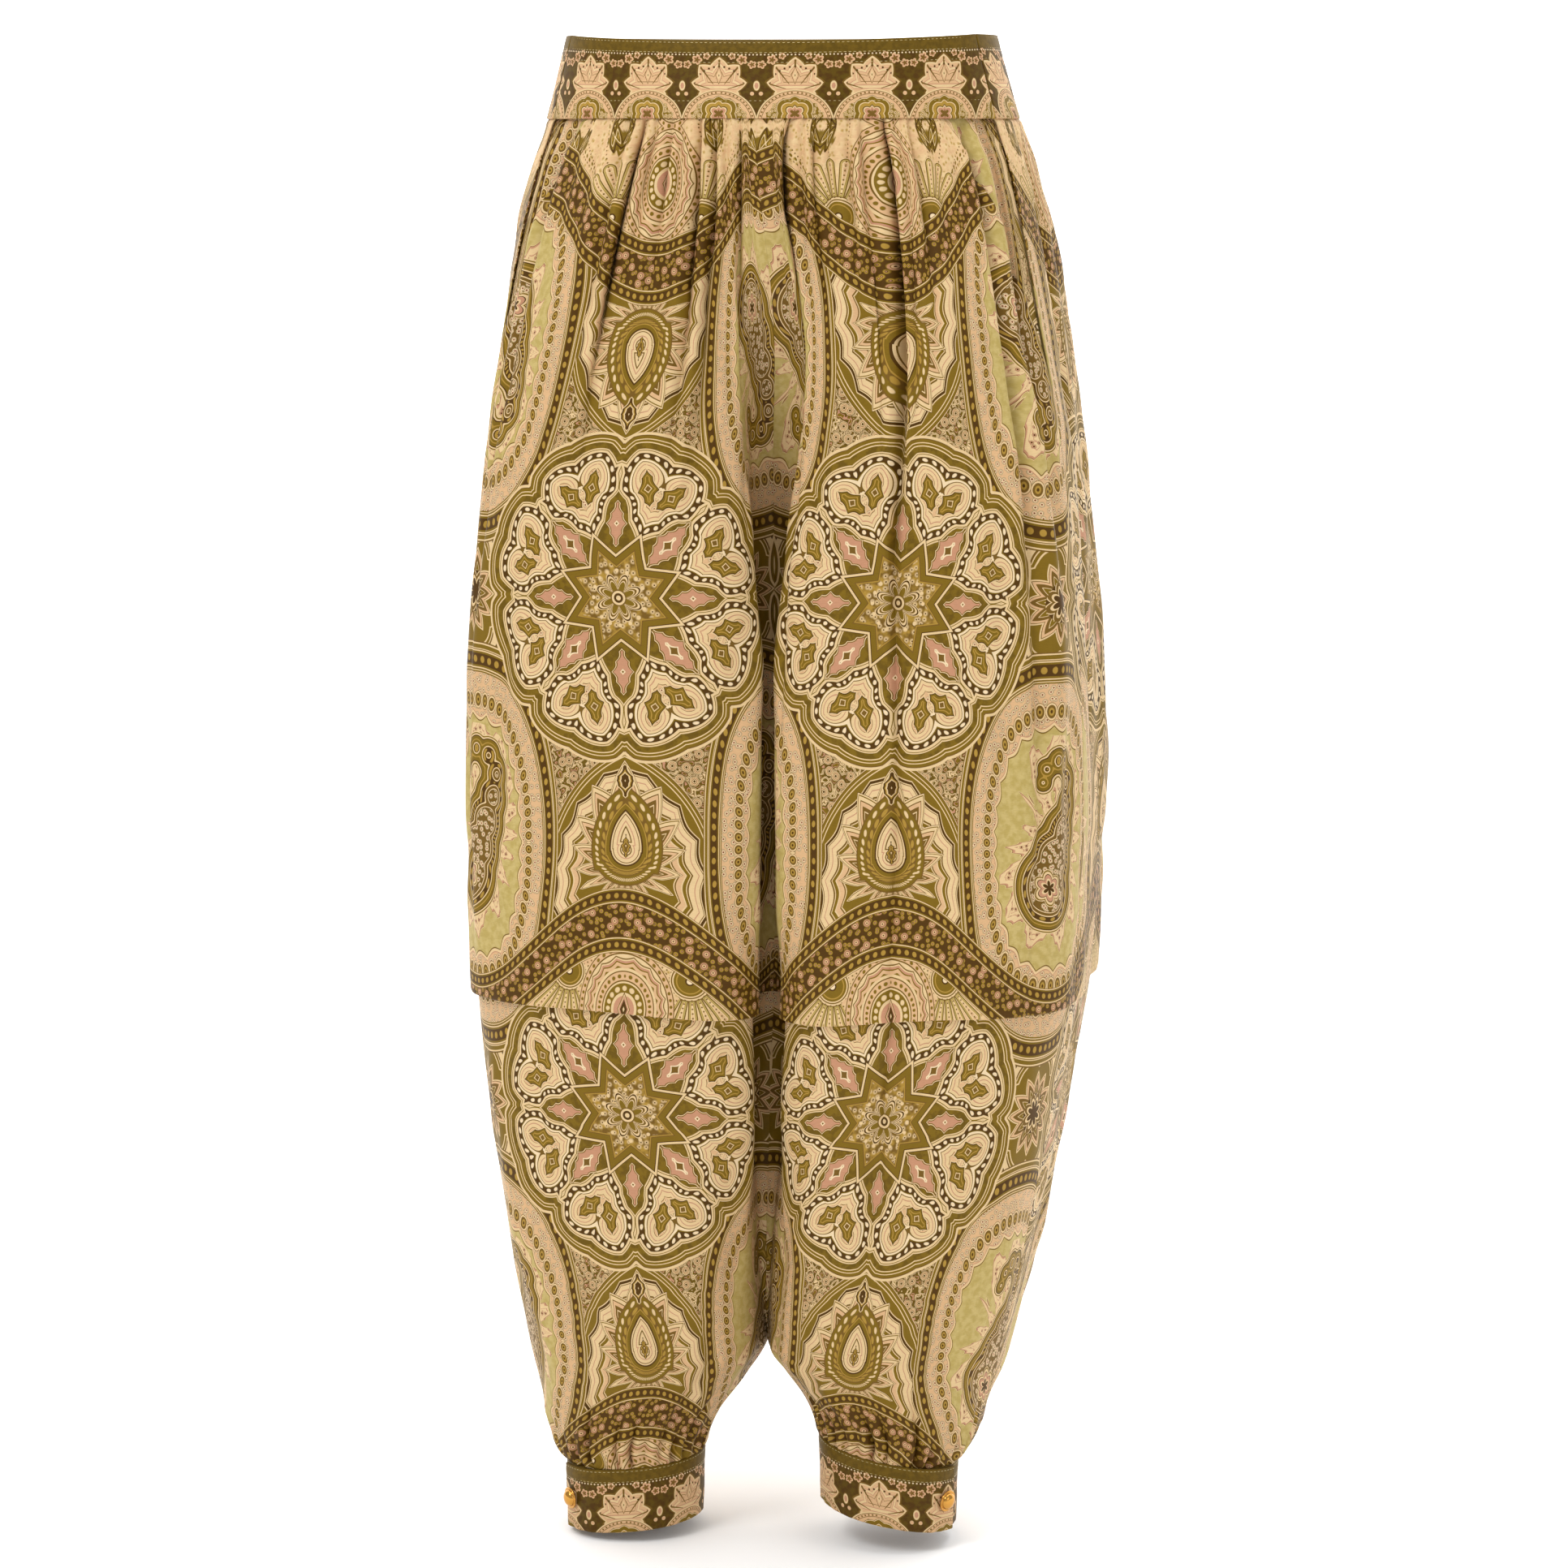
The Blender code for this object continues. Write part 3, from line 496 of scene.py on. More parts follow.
def tuck_rows():
    """The rows of the knee tuck: down the outer layer, round its edge, up inside, and down behind."""
    rows = []
    edge = TUCK_FOLD_Z + TUCK_ROUND
    for share in np.linspace(0.0, 1.0, 17):
        flare = 2 * (TUCK_LAYER + (TUCK_FLARE - TUCK_LAYER) * share)
        rows.append((TUCK_STITCH_Z + (edge - TUCK_STITCH_Z) * share, flare))
    for turn in np.linspace(0.0, math.pi, 7)[1:-1]:
        flare = TUCK_FLARE * (1.5 + 0.5 * math.cos(turn))
        rows.append((edge - TUCK_FLARE / 2 * math.sin(turn), flare))
    for share in np.linspace(0.0, 1.0, 7):
        flare = TUCK_FLARE + (TUCK_LAYER - TUCK_FLARE) * share
        rows.append((edge + (TUCK_TOP - edge) * share, flare))
    for turn in np.linspace(0.0, math.pi, 5)[1:-1]:
        rows.append((TUCK_TOP + TUCK_LAYER / 2 * math.sin(turn), TUCK_LAYER * (0.5 + 0.5 * math.cos(turn))))
    for z in np.linspace(TUCK_TOP, TUCK_FOLD_Z, 6):
        rows.append((z, 0.0))
    return rows


def panel_rows():
    """The rows of a fine panel, down the cloth: height, and how far the layer stands out."""
    rows = list(TOP_ROWS)
    for z in np.arange(WAIST_Z - 0.0022, TUCK_START_Z, -ROW_STEP):
        rows.append((z, 0.0))
    for z in np.arange(TUCK_START_Z, TUCK_STITCH_Z, -ROW_STEP):
        rows.append((z, 2 * TUCK_LAYER * float(smoothstep(-TUCK_START_Z, -TUCK_STITCH_Z, -z))))
    rows.extend(tuck_rows())
    for z in np.linspace(TUCK_FOLD_Z - 0.003, CUFF_Z + 0.0008, ROWS_BELOW_TUCK):
        rows.append((z, 0.0))
    rows.extend(LAST_ROWS)
    return rows


def crease_shape(away, half_width, soft):
    """A trough: a narrow crease between rounded puffs of cloth."""
    crease = np.exp(-((np.abs(away) / half_width) ** CREASE_POWER))
    return CREASE_SHARE * crease + (1 - CREASE_SHARE) * soft


def lap_across(line, nearest, away, half_width):
    """The share of a crease's lap at each grid line: broad on the side that laps over and narrow on the
    other. Which side laps over changes from crease to crease."""
    hand = np.where(np.sin(nearest * 2.3 + 0.6) > 0, 1.0, -1.0)
    above = np.cos(math.pi * (line - nearest)) ** 2
    beneath = np.exp(-((away / (0.8 * half_width)) ** 2))
    return hand * np.where(hand * away < 0, above, beneath)


def cuff_gathers(nearest, away, soft, rise):
    """How far the gathers above a cuff push the cloth out. Some are deeper, and some reach higher."""
    uneven = 0.7 + 0.5 * np.sin(nearest * 1.9 + 0.4)
    reach = CUFF_CREASE_REACH * (0.75 + 0.35 * np.sin(nearest * 2.7))
    at_cuff = (1 - smoothstep(0.004, reach, rise)) * smoothstep(-0.002, 0.004, rise)
    return CUFF_DEPTH * at_cuff * uneven * (CUFF_CREST - crease_shape(away, CUFF_CREASE, soft))


def gathers(folds, line, z, spread):
    """How far the gathers push the cloth out, and how far they draw it sideways so that one side of a
    crease laps over it."""
    depth, reach = fold_values(folds, "depth", line), fold_values(folds, "reach", line)
    drop = WAIST_Z - z
    strength = SEAM_PRESS + (1 - SEAM_PRESS) * smoothstep(0.0, FOLD_RISE, drop)
    strength = strength * (1 - smoothstep(FOLD_FADE, 1.0, drop / reach)) * smoothstep(*AT_BAND, drop)
    nearest = np.rint(line)
    away = (line - nearest) * spread
    half_width = CREASE_NARROW + (CREASE_WIDE - CREASE_NARROW) * smoothstep(0.0, CREASE_WIDE_DROP, drop)
    soft = np.cos(math.pi * line) ** 2
    deeper = np.minimum(GATHER_DEPTH * depth * (depth / USUAL_DEPTH) ** 2, DEEPEST)
    deeper = deeper * (1 - 0.5 * smoothstep(*EXTRA_DEPTH_FADE, drop))
    puff = CREST * GATHER_DEPTH * depth * (1 - soft)
    gathered = strength * (puff - deeper * crease_shape(away, half_width, soft))
    ends = smoothstep(0.0, 1.0, line) * smoothstep(0.0, 1.0, len(folds) - 1 - line)
    pucker = PUCKER * np.sin(line * 9.7 + 1.3) * np.exp(-drop / PUCKER_REACH)
    out = (gathered + cuff_gathers(nearest, away, soft, z - CUFF_Z) + pucker) * ends
    lapped = LAP_SHARE * (1 - smoothstep(*LAP_FADE, drop)) * deeper * strength * ends
    return out, lapped * lap_across(line, nearest, away, half_width)


def creases(side, face, share, z, width):
    """How far the listed creases, and the slow swells, push the cloth in or out."""
    out = np.zeros(len(share))
    for row in CREASES[side, face]:
        crease = dict(zip(CREASE_COLUMNS, row))
        along = (crease["z_top"] - z) / (crease["z_top"] - crease["z_low"])
        if not 0.0 < along < 1.0:
            continue
        middle = crease["share_top"] + (crease["share_low"] - crease["share_top"]) * along
        bend = CREASE_BEND * math.sin(along * 5.0 + crease["z_top"] * 40.0)
        away = (share - middle - bend) * width / crease["half_width"]
        fade = math.sin(math.pi * along) ** 0.7
        out += crease["rise"] * fade * np.exp(-away * away)
    edges = smoothstep(0.0, 0.08, share) * smoothstep(0.0, 0.08, 1 - share)
    ends = float(smoothstep(0.0, 0.05, WAIST_Z - z) * smoothstep(0.0, 0.04, z - CUFF_Z))
    for row in SWELLS:
        swell = dict(zip(SWELL_COLUMNS, row))
        across = share * width / swell["across"] * 2 * math.pi + swell["phase_across"] + SWELL_SLANT * z
        down = z / swell["down"] * 2 * math.pi + swell["phase_down"]
        out += swell["height"] * np.sin(across) * math.sin(down)
    return out * edges * ends


def fine_row(side, face, line, z, stand_off):
    """The points of one row of a fine panel, as it hangs."""
    folds = FOLDS[side, face]
    x, y = half_outline(z, face)
    share, width = shares_along(x, y)
    across = fold_shares(folds, line, z)
    pushed, lapped = gathers(folds, line, z, width * np.abs(np.gradient(across, line)))
    wanted = across + lapped / width
    tangent_x, tangent_y = np.gradient(x), np.gradient(y)
    size_of = np.hypot(tangent_x, tangent_y)
    outward = 1.0 if face == "front" else -1.0
    normal_x = np.interp(wanted, share, outward * tangent_y / size_of)
    normal_y = np.interp(wanted, share, -outward * tangent_x / size_of)
    out = stand_off + pushed + creases(side, face, across, z, width)
    x = np.interp(wanted, share, x) + normal_x * out
    y = np.interp(wanted, share, y) + normal_y * out
    if face == "front":
        over, sunk = fold_over(side, z, wanted * width)
        x, y = x - over, y + sunk - OVERLAP_FORWARD * over
    if z >= CROTCH_Z:
        x[0] = 0.0
    return hang(side, x, y, np.full(len(x), z))


def star_axis_share(face, z):
    """Where the print's stars lie below the knee: the share of the way across, on the leg's middle line."""
    x, y = half_outline(z, face)
    level = LEVELS.read(z)
    share, width = shares_along(x, y)
    middle = (level["side"] + level["gap"]) / 2 - STAR_AXIS_INWARD
    past_edge = int(np.argmin(np.where(share < 0.15, 1.0, np.abs(x - middle))))
    return share[past_edge], width


def cut_places(folds, face, line, across, z):
    """How far across the flat cloth each grid line is. The gathers at the waist draw the cloth together,
    and below the knee the seams taper in while the print runs straight down."""
    if z > STRAIGHT_Z:
        width = shares_along(*half_outline(min(z, KNEE_WIDTH_Z), face))[1]
        return fold_values(folds, "knee", line) * width * CLOTH_FULLNESS
    axis, width = star_axis_share(face, z)
    axis_above, width_above = star_axis_share(face, STRAIGHT_Z)
    return (axis_above * width_above + (across - axis) * width) * CLOTH_FULLNESS


def mesh_of(sheet, name):
    """A mesh of that name from a finished sheet."""
    mesh = bpy.data.meshes.new(name)
    sheet.to_mesh(mesh)
    sheet.free()
    return mesh


def linked(name, data):
    """An object of that name in the scene."""
    thing = bpy.data.objects.new(name, data)
    bpy.context.scene.collection.objects.link(thing)
    return thing


def grid_mesh(name, points, places):
    """A mesh from a grid of points, rows by columns, with the cloth's own places as its UV map."""
    rows, columns = points.shape[:2]
    sheet = bmesh.new()
    bmesh.ops.create_grid(sheet, x_segments=columns - 1, y_segments=rows - 1, size=0.5)
    mesh = mesh_of(sheet, name)
    flat = np.empty(len(mesh.vertices) * 3)
    mesh.vertices.foreach_get("co", flat)
    flat = flat.reshape(-1, 3)
    column = np.rint((flat[:, 0] + 0.5) * (columns - 1)).astype(int)
    row = np.rint((0.5 - flat[:, 1]) * (rows - 1)).astype(int)
    mesh.vertices.foreach_set("co", points[row, column].ravel())
    corners = np.empty(len(mesh.loops), dtype=np.int32)
    mesh.loops.foreach_get("vertex_index", corners)
    uv = mesh.uv_layers.new(name="cloth")
    uv.uv.foreach_set("vector", places[row, column][corners].astype(np.float32).ravel())
    mesh.update()
    return mesh


def shown(name, mesh, material, wall=0.0):
    """An object that rides on the garment, smooth, with its material and the thickness of its cloth."""
    thing = linked(name, mesh)
    mesh.shade_smooth()
    mesh.materials.append(material)
    if wall:
        solid = thing.modifiers.new("wall", "SOLIDIFY")
        solid.thickness = wall
        solid.offset = 0.0
    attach(thing, "root")
    return thing


def panel_grid(side, face):
    """The points of a fine panel, their places on the print, and the flat cut's mean width and length."""
    folds = FOLDS[side, face]
    line = np.linspace(0.0, len(folds) - 1.0, (len(folds) - 1) * STEPS_PER_FOLD + 1)
    line = line - CREASE_PACKING * np.sin(2 * math.pi * line) / (2 * math.pi)
    rows = panel_rows()
    points = np.empty((len(rows), len(line), 3))
    places = np.empty((len(rows), len(line), 2))
    down, long, area = -BEHIND_BAND, 0.0, 0.0
    seen_fold = False
    middle = len(line) // 2
    for i, (z, stand_off) in enumerate(rows):
        x, y, heights = fine_row(side, face, line, z, stand_off)
        points[i, :, 0], points[i, :, 1], points[i, :, 2] = x, y, heights
        places[i, :, 0] = HAND[side] * cut_places(folds, face, line, fold_shares(folds, line, z), z)
        if i:
            step = float(np.linalg.norm(points[i, middle] - points[i - 1, middle]))
            hidden = seen_fold and 0.0 < stand_off < 1.2 * TUCK_FLARE
            down += step * (TUCK_TAKE if hidden else 1.0)
            long += step
            area += step * float(np.ptp(places[i, :, 0]))
        seen_fold = seen_fold or stand_off > 1.9 * TUCK_FLARE
        places[i, :, 1] = down
    return points, places, (area / long, long)


def on_bag(side, share, z):
    """A point of the smooth bag on the front panel, at a share of the way to the side seam."""
    x, y = half_outline(z, "front")
    along, _ = shares_along(x, y)
    x, y, z = hang(side, np.interp(share, along, x), np.interp(share, along, y), z)
    return Vector((float(x), float(y), float(z)))


def mouth_plane(side):
    """The plane of a pocket mouth: a point on it, and its direction towards the hip."""
    top, end = on_bag(side, POCKET_TOP_SHARE, WAIST_Z), on_bag(side, 1.0, POCKET_END_Z)
    slant = (end - top).normalized()
    outward = Vector((top.x + end.x, 1.2 * (top.y + end.y), 0.0)).normalized()
    to_hip = slant.cross(outward).normalized()
    return top, to_hip if to_hip.z > 0 else -to_hip


def cut_mesh(mesh, side, moved_in, keep_hip):
    """Cuts a mesh along the pocket mouth, and keeps its hip corner or the rest."""
    place, to_hip = mouth_plane(side)
    sheet = bmesh.new()
    sheet.from_mesh(mesh)
    bmesh.ops.bisect_plane(
        sheet,
        geom=sheet.verts[:] + sheet.edges[:] + sheet.faces[:],
        plane_co=place - to_hip * moved_in,
        plane_no=to_hip,
        clear_inner=keep_hip,
        clear_outer=not keep_hip,
    )
    sheet.to_mesh(mesh)
    sheet.free()


def make_panel(side, face, material):
    """A front or back panel of one leg. A front panel is cut away along its pocket mouth."""
    points, places, flat = panel_grid(side, face)
    mesh = grid_mesh(f"cloth_{face}_{side}", points, places)
    if face == "front":
        cut_mesh(mesh, side, 0.0, keep_hip=False)
    panel = shown(f"cloth_{face}_{side}", mesh, material, SHEET)
    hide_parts(f"{face}_{side}")
    return points, places


def make_pocket(side, points, places, material):
    """The cloth behind a pocket mouth, laid a little inside the front panel."""
    rows = int(POCKET_LONG / ROW_STEP)
    columns = points.shape[1] // 2
    part, flat = points[:rows, columns:], places[:rows, columns:]
    down, across = np.gradient(part, axis=0), np.gradient(part, axis=1)
    inward = np.cross(down, across)
    inward /= np.linalg.norm(inward, axis=2, keepdims=True)
    middle = np.array([part[:, :, 0].mean() * INSIDE_LEG[0], INSIDE_LEG[1], 0.0])
    towards = middle - part
    towards[:, :, 2] = 0.0
    inward *= np.sign((inward * towards).sum(axis=2))[:, :, None]
    moved = flat + np.array([HAND[side] * POCKET_PRINT_MOVED[0], POCKET_PRINT_MOVED[1]])
    mesh = grid_mesh(f"cloth_pocket_{side}", part + inward * POCKET_SINK, moved)
    cut_mesh(mesh, side, POCKET_UNDERLAP, keep_hip=True)
    pocket = shown(f"cloth_pocket_{side}", mesh, material, SHEET)
    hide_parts(f"pocket_{side}")


def cuff_point(side, angle, down, out):
    """A point of a cuff: angle from the front to the outer side, down from its top, out from its wall."""
    size = 1 + (CUFF_TAPER - 1) * down / CUFF_HEIGHT
    x = CUFF_CENTRE_X + (CUFF_HALF_WIDTH * size + out) * math.sin(angle)
    y = CUFF_CENTRE_Y - (CUFF_HALF_DEPTH * size + out) * math.cos(angle)
    x, y, z = hang(side, x, y, CUFF_Z - SEAM_GAP / 2 - down)
    return Vector((float(x), float(y), float(z)))


def lap_rise(side, angle):
    """How far the cuff stands out where its front end passes over its back end."""
    passed = BUTTON_ANGLE[side] - LAP_ANGLE - angle
    return (BAND_CLOTH + SEAM_GAP) * (1 - float(smoothstep(0.0, LAP_RAMP, passed)))


# ---- waistband and cuffs -------------------------------------------------------------------------------

BAND_SHEET = 0.0022
BAND_COLUMNS = 240
BAND_ROWS = 26
CUFF_COLUMNS = 200
CUFF_ROWS = 22
RIM_ROLL = 0.0008
STITCH_SINK = 0.00025  # a row of stitches draws the band in by this much
STITCH_NARROW = 0.0016
BAND_STITCHES = (0.0015, 0.0082, 0.0150, 0.0410)  # rows of stitches, down from the rim
CUFF_STITCHES = (0.0015, 0.0085)
RIPPLE = 0.0006  # ripples all over a band, and how many there are in a metre across and down
RIPPLE_SCALE = (70.0, 45.0)
TUCKED = 0.0008  # ripples beside the gathers
TUCKED_SCALE = 160.0
TUCKED_REACH = 0.006
BAND_HALF_LONG = 0.21
BAND_SEED = {"front": 3.0, "back": 11.0}
CUFF_SEED = {"left": 23.0, "right": 31.0}


def stitched_relief(rows, across, down, height, seed):
    """How a double band puffs between its rows of stitches, with small ripples where it is gathered."""
    sunk = sum(math.exp(-(((down - row) / STITCH_NARROW) ** 2)) for row in rows)
    place = Vector((across * RIPPLE_SCALE[0], down * RIPPLE_SCALE[1], seed))
    ripple = noise.noise(place) * RIPPLE * math.sin(math.pi * min(1.0, down / height))
    tucked = noise.noise(Vector((across * TUCKED_SCALE, 0.0, seed + 5.0))) * TUCKED
    near_seam = math.exp(-(height - down) / TUCKED_REACH)
    return ripple - STITCH_SINK * sunk + tucked * near_seam


def band_relief(face, across, down):
    """How a half of the waistband puffs. across runs from -1 to 1, as in band_point."""
    return stitched_relief(BAND_STITCHES, across * BAND_HALF_LONG, down, BAND_HEIGHT, BAND_SEED[face])


def banded(name, mesh, material):
    """A double band of cloth with its rims rolled over."""
    band = shown(name, mesh, material, BAND_SHEET)
    rim = band.modifiers.new("rolled rims", "BEVEL")
    rim.width = RIM_ROLL
    rim.segments = 3
    rim.angle_limit = math.radians(60)
    return band


def band_point(face, across, down, out):
    """A point of the waistband: across runs from -1 to 1 between the side seams, down in metres."""
    x, y = half_outline(RIM_Z - down, face)
    share, length_of = shares_along(x, y)
    at = abs(across) * (1 - SEAM_GAP / 2 / length_of)
    place_x, place_y = np.interp(at, share, x), np.interp(at, share, y)
    ahead, behind = min(1.0, at + 0.01), max(0.0, at - 0.01)
    step_x = np.interp(ahead, share, x) - np.interp(behind, share, x)
    step_y = np.interp(ahead, share, y) - np.interp(behind, share, y)
    size_of = math.hypot(step_x, step_y)
    outward = 1.0 if face == "front" else -1.0
    place_x += outward * step_y / size_of * out
    place_y -= outward * step_x / size_of * out
    dip = RIM_DIP * (1 - down / BAND_HEIGHT) * (1 - at * at) if face == "front" else 0.0
    place = hang("right", math.copysign(place_x, across), place_y, RIM_Z - down - dip)
    return Vector([float(part) for part in place]), length_of * at


def make_waistband(face, material):
    """Half of the waistband, from side seam to side seam."""
    points = np.empty((BAND_ROWS, BAND_COLUMNS + 1, 3))
    places = np.empty((BAND_ROWS, BAND_COLUMNS + 1, 2))
    for i in range(BAND_ROWS):
        down = BAND_HEIGHT * i / (BAND_ROWS - 1)
        for j in range(BAND_COLUMNS + 1):
            across = 2 * j / BAND_COLUMNS - 1
            relief = band_relief(face, across, down) * (1 - across**8)
            points[i, j], far = band_point(face, across, down, relief)
            places[i, j] = (math.copysign(far, across), down)
    band = banded(f"band_{face}", grid_mesh(f"band_{face}", points, places), material)
    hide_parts(f"waistband_{face}")


def make_cuff(side, material):
    """A cuff: a band that goes round the leg and passes over its own end at the button."""
    start = BUTTON_ANGLE[side] + LAP_ANGLE
    points = np.empty((CUFF_ROWS, CUFF_COLUMNS + 1, 3))
    places = np.empty((CUFF_ROWS, CUFF_COLUMNS + 1, 2))
    for i in range(CUFF_ROWS):
        down = CUFF_HEIGHT * i / (CUFF_ROWS - 1)
        for j in range(CUFF_COLUMNS + 1):
            turned = start - (2 * math.pi + 2 * LAP_ANGLE) * j / CUFF_COLUMNS
            far = turned * CUFF_HALF_WIDTH
            relief = stitched_relief(CUFF_STITCHES, far, down, CUFF_HEIGHT, CUFF_SEED[side])
            points[i, j] = cuff_point(side, turned, down, lap_rise(side, turned) + relief)
            places[i, j] = (far + BORDER_PITCH / 2000, down)
    cuff = banded(f"band_cuff_{side}", grid_mesh(f"band_cuff_{side}", points, places), material)
    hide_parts(f"cuff_{side}")


# ---- buttons ---------------------------------------------------------------------------------------------

BUTTON_SIDES = 64
EDGE_ROUND = 0.0006
GROOVE_IN = 0.0016  # the groove between rim and dome, from the button's edge
GROOVE_DEEP = 0.0004
GROOVE_EDGE = 0.0003
DOME_ROUND = 1.2


def fine_button_profile():
    """Half of the button: shank, flat back, a rolled rim, a shallow groove and a dome."""
    rim_top = SHANK_LENGTH + BUTTON_RIM
    points = [(0.0, 0.0), (SHANK_RADIUS, 0.0), (SHANK_RADIUS, SHANK_LENGTH)]
    points.append((BUTTON_RADIUS - EDGE_ROUND, SHANK_LENGTH))
    for step in range(1, 10):
        turn = -math.pi / 2 + step / 9 * math.pi * 0.85
        out = BUTTON_RADIUS - EDGE_ROUND + EDGE_ROUND * math.cos(turn)
        points.append((out, rim_top - EDGE_ROUND + EDGE_ROUND * math.sin(turn)))
    groove = BUTTON_RADIUS - GROOVE_IN
    points.append((groove + GROOVE_EDGE, rim_top - GROOVE_EDGE))
    for step in range(15):
        turn = step / 14 * math.pi / 2
        dome = BUTTON_DOME * (1 - (1 - math.sin(turn)) ** DOME_ROUND)
        points.append((groove * math.cos(turn), rim_top + dome - GROOVE_DEEP * math.cos(turn)))
    return points


def button_shape():
    """A domed button, spun from its profile, that stands at the origin."""
    button = bmesh.new()
    rim = [button.verts.new((radius, 0.0, height)) for radius, height in fine_button_profile()]
    for first, second in zip(rim, rim[1:]):
        button.edges.new((first, second))
    bmesh.ops.spin(
        button,
        geom=button.verts[:] + button.edges[:],
        axis=(0, 0, 1),
        cent=(0, 0, 0),
        angle=2 * math.pi,
        steps=BUTTON_SIDES,
        use_merge=True,
    )
    bmesh.ops.remove_doubles(button, verts=button.verts[:], dist=1e-6)
    bmesh.ops.recalc_face_normals(button, faces=button.faces[:])
    return button


def make_button(side, material):
    """A domed metal button, standing on the cuff's lap."""
    button = button_shape()
    turned = BUTTON_ANGLE[side]
    surface = lap_rise(side, turned) + BAND_CLOTH / 2 + SEAM_GAP
    foot = cuff_point(side, turned, CUFF_HEIGHT / 2, surface)
    outward = cuff_point(side, turned, CUFF_HEIGHT / 2, surface + 0.01) - foot
    placed = outward.to_track_quat("Z", "Y").to_matrix().to_4x4()
    placed.translation = foot
    bmesh.ops.transform(button, matrix=placed, verts=button.verts[:])
    made = shown(f"gold_button_{side}", mesh_of(button, f"gold_button_{side}"), material)
    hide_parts(f"button_{side}")


# ---- stitches --------------------------------------------------------------------------------------------

STITCH_PITCH = 0.0031
STITCH_LENGTH = 0.0023
STITCH_WIDTH = 0.00042
BAND_SEWN = np.linspace(-0.998, 0.998, 181)  # places along a half of the waistband
CUFF_SEWN = 161  # the number of places round a cuff


def place_along(at, along, points):
    """The place on a line of points at a distance from its start."""
    return Vector([float(np.interp(at, along, points[:, i])) for i in range(3)])


def sew(line, outward_at):
    """A row of stitches along a line of points, each turned with the line and lying on the cloth."""
    sheet = bmesh.new()
    points = np.array([tuple(point) for point in line])
    steps = np.linalg.norm(np.diff(points, axis=0), axis=1)
    along = np.concatenate([[0.0], np.cumsum(steps)])
    for at in np.arange(STITCH_PITCH / 2, along[-1], STITCH_PITCH):
        place = place_along(at, along, points)
        run = (place_along(at + 0.001, along, points) - place_along(at - 0.001, along, points)).normalized()
        up = outward_at(place)
        up = (up - run * up.dot(run)).normalized()
        beside = up.cross(run)
        turned = Matrix((run, beside, up)).transposed().to_4x4()
        scale = Matrix.Diagonal((STITCH_LENGTH / 2, STITCH_WIDTH / 2, STITCH_WIDTH / 2, 1.0))
        matrix = Matrix.Translation(place) @ turned @ scale
        bmesh.ops.create_uvsphere(sheet, u_segments=6, v_segments=4, radius=1.0, matrix=matrix)
    return mesh_of(sheet, "row of stitches")


def from_axis(centre_x, centre_y):
    """A direction away from an upright axis, for the stitches round it."""

    def outward_at(place):
        return Vector((place.x - centre_x, place.y - centre_y, 0.0)).normalized()

    return outward_at


def band_line(face, down):
    """Points on the outside of a half of the waistband, along a row of stitches."""
    line = []
    for across in BAND_SEWN:
        out = BAND_SHEET / 2 + band_relief(face, across, down)
        line.append(band_point(face, across, down, out)[0])
    return line


def cuff_line(side, down):
    """Points on the outside of a cuff, round it along a row of stitches."""
    start = BUTTON_ANGLE[side] + LAP_ANGLE - 0.02
    end = start - 2 * math.pi - LAP_ANGLE * 1.2
    line = []
    for turned in np.linspace(start, end, CUFF_SEWN):
        out = lap_rise(side, turned) + BAND_SHEET / 2 - STITCH_SINK
        line.append(cuff_point(side, turned, down, out))
    return line


def make_stitches(material):
    """All the rows of stitches that show, as one piece."""
    rows = []
    for face in ("front", "back"):
        for down in BAND_STITCHES:
            rows.append(sew(band_line(face, down), from_axis(0.0, 0.0)))
    for side in ("left", "right"):
        centre = cuff_point(side, 0.0, 0.0, -CUFF_HALF_WIDTH)
        for down in CUFF_STITCHES:
            rows.append(sew(cuff_line(side, down), from_axis(centre.x, centre.y)))
    sheet = bmesh.new()
    for row in rows:
        sheet.from_mesh(row)
        bpy.data.meshes.remove(row)
    shown("stitches", mesh_of(sheet, "stitches"), material)


# ---- print -------------------------------------------------------------------------------------------

CREAM = (0.81, 0.70, 0.52)
PEACH = (0.78, 0.63, 0.465)
PINK = (0.70, 0.51, 0.39)
SAGE = (0.66, 0.58, 0.33)
PALE_SAGE = (0.71, 0.63, 0.40)
OLIVE = (0.45, 0.35, 0.08)
DEEP_OLIVE = (0.38, 0.29, 0.06)
MUSTARD = (0.62, 0.49, 0.20)
BROWN = (0.42, 0.31, 0.11)
DARK = (0.29, 0.19, 0.03)
WHITE = (0.85, 0.76, 0.61)
WORN_DARK = (0.33, 0.25, 0.04)
STRIP = (0.34, 0.26, 0.05)
WORN_STRIP = (0.39, 0.30, 0.07)

# Millimetres of cloth
TILE_WIDTH = 256.0  # from one field of botehs to the next
TILE_HEIGHT = 600.0
STAR_DOWN = 306.0  # the first star lies this far below the waist seam
FIELD_ACROSS = 28.0  # the middle of the first field, from the centre seam
FIELD_DOWN = 158.0  # the middle of a field, from the level of the star
FIELD_WIDE = 50.0
FIELD_TALL = 80.0
FIELD_SQUARE = 2.6  # between an ellipse, 2, and a box
FIELD_EVEN = 56.0  # the size that its frame is measured by
BOTEH_CIRCLES = (  # across, down, radius: they blend into its body and its curled tip
    (4.0, 6.0, 24.0), (13.0, -11.0, 20.0), (20.0, -27.0, 16.0), (23.0, -42.0, 12.5), (16.0, -54.0, 10.0),
    (4.0, -58.0, 7.6), (-5.0, -53.0, 6.0), (-7.5, -44.5, 5.0),
)
WAVE_NEAR = 205.0  # the trailing band's distance from the star's level, on the star's axis
WAVE_FAR = 270.0  # and on the field's axis
BORDER_PITCH = 48.0
STRIP_HIGH = 8.8
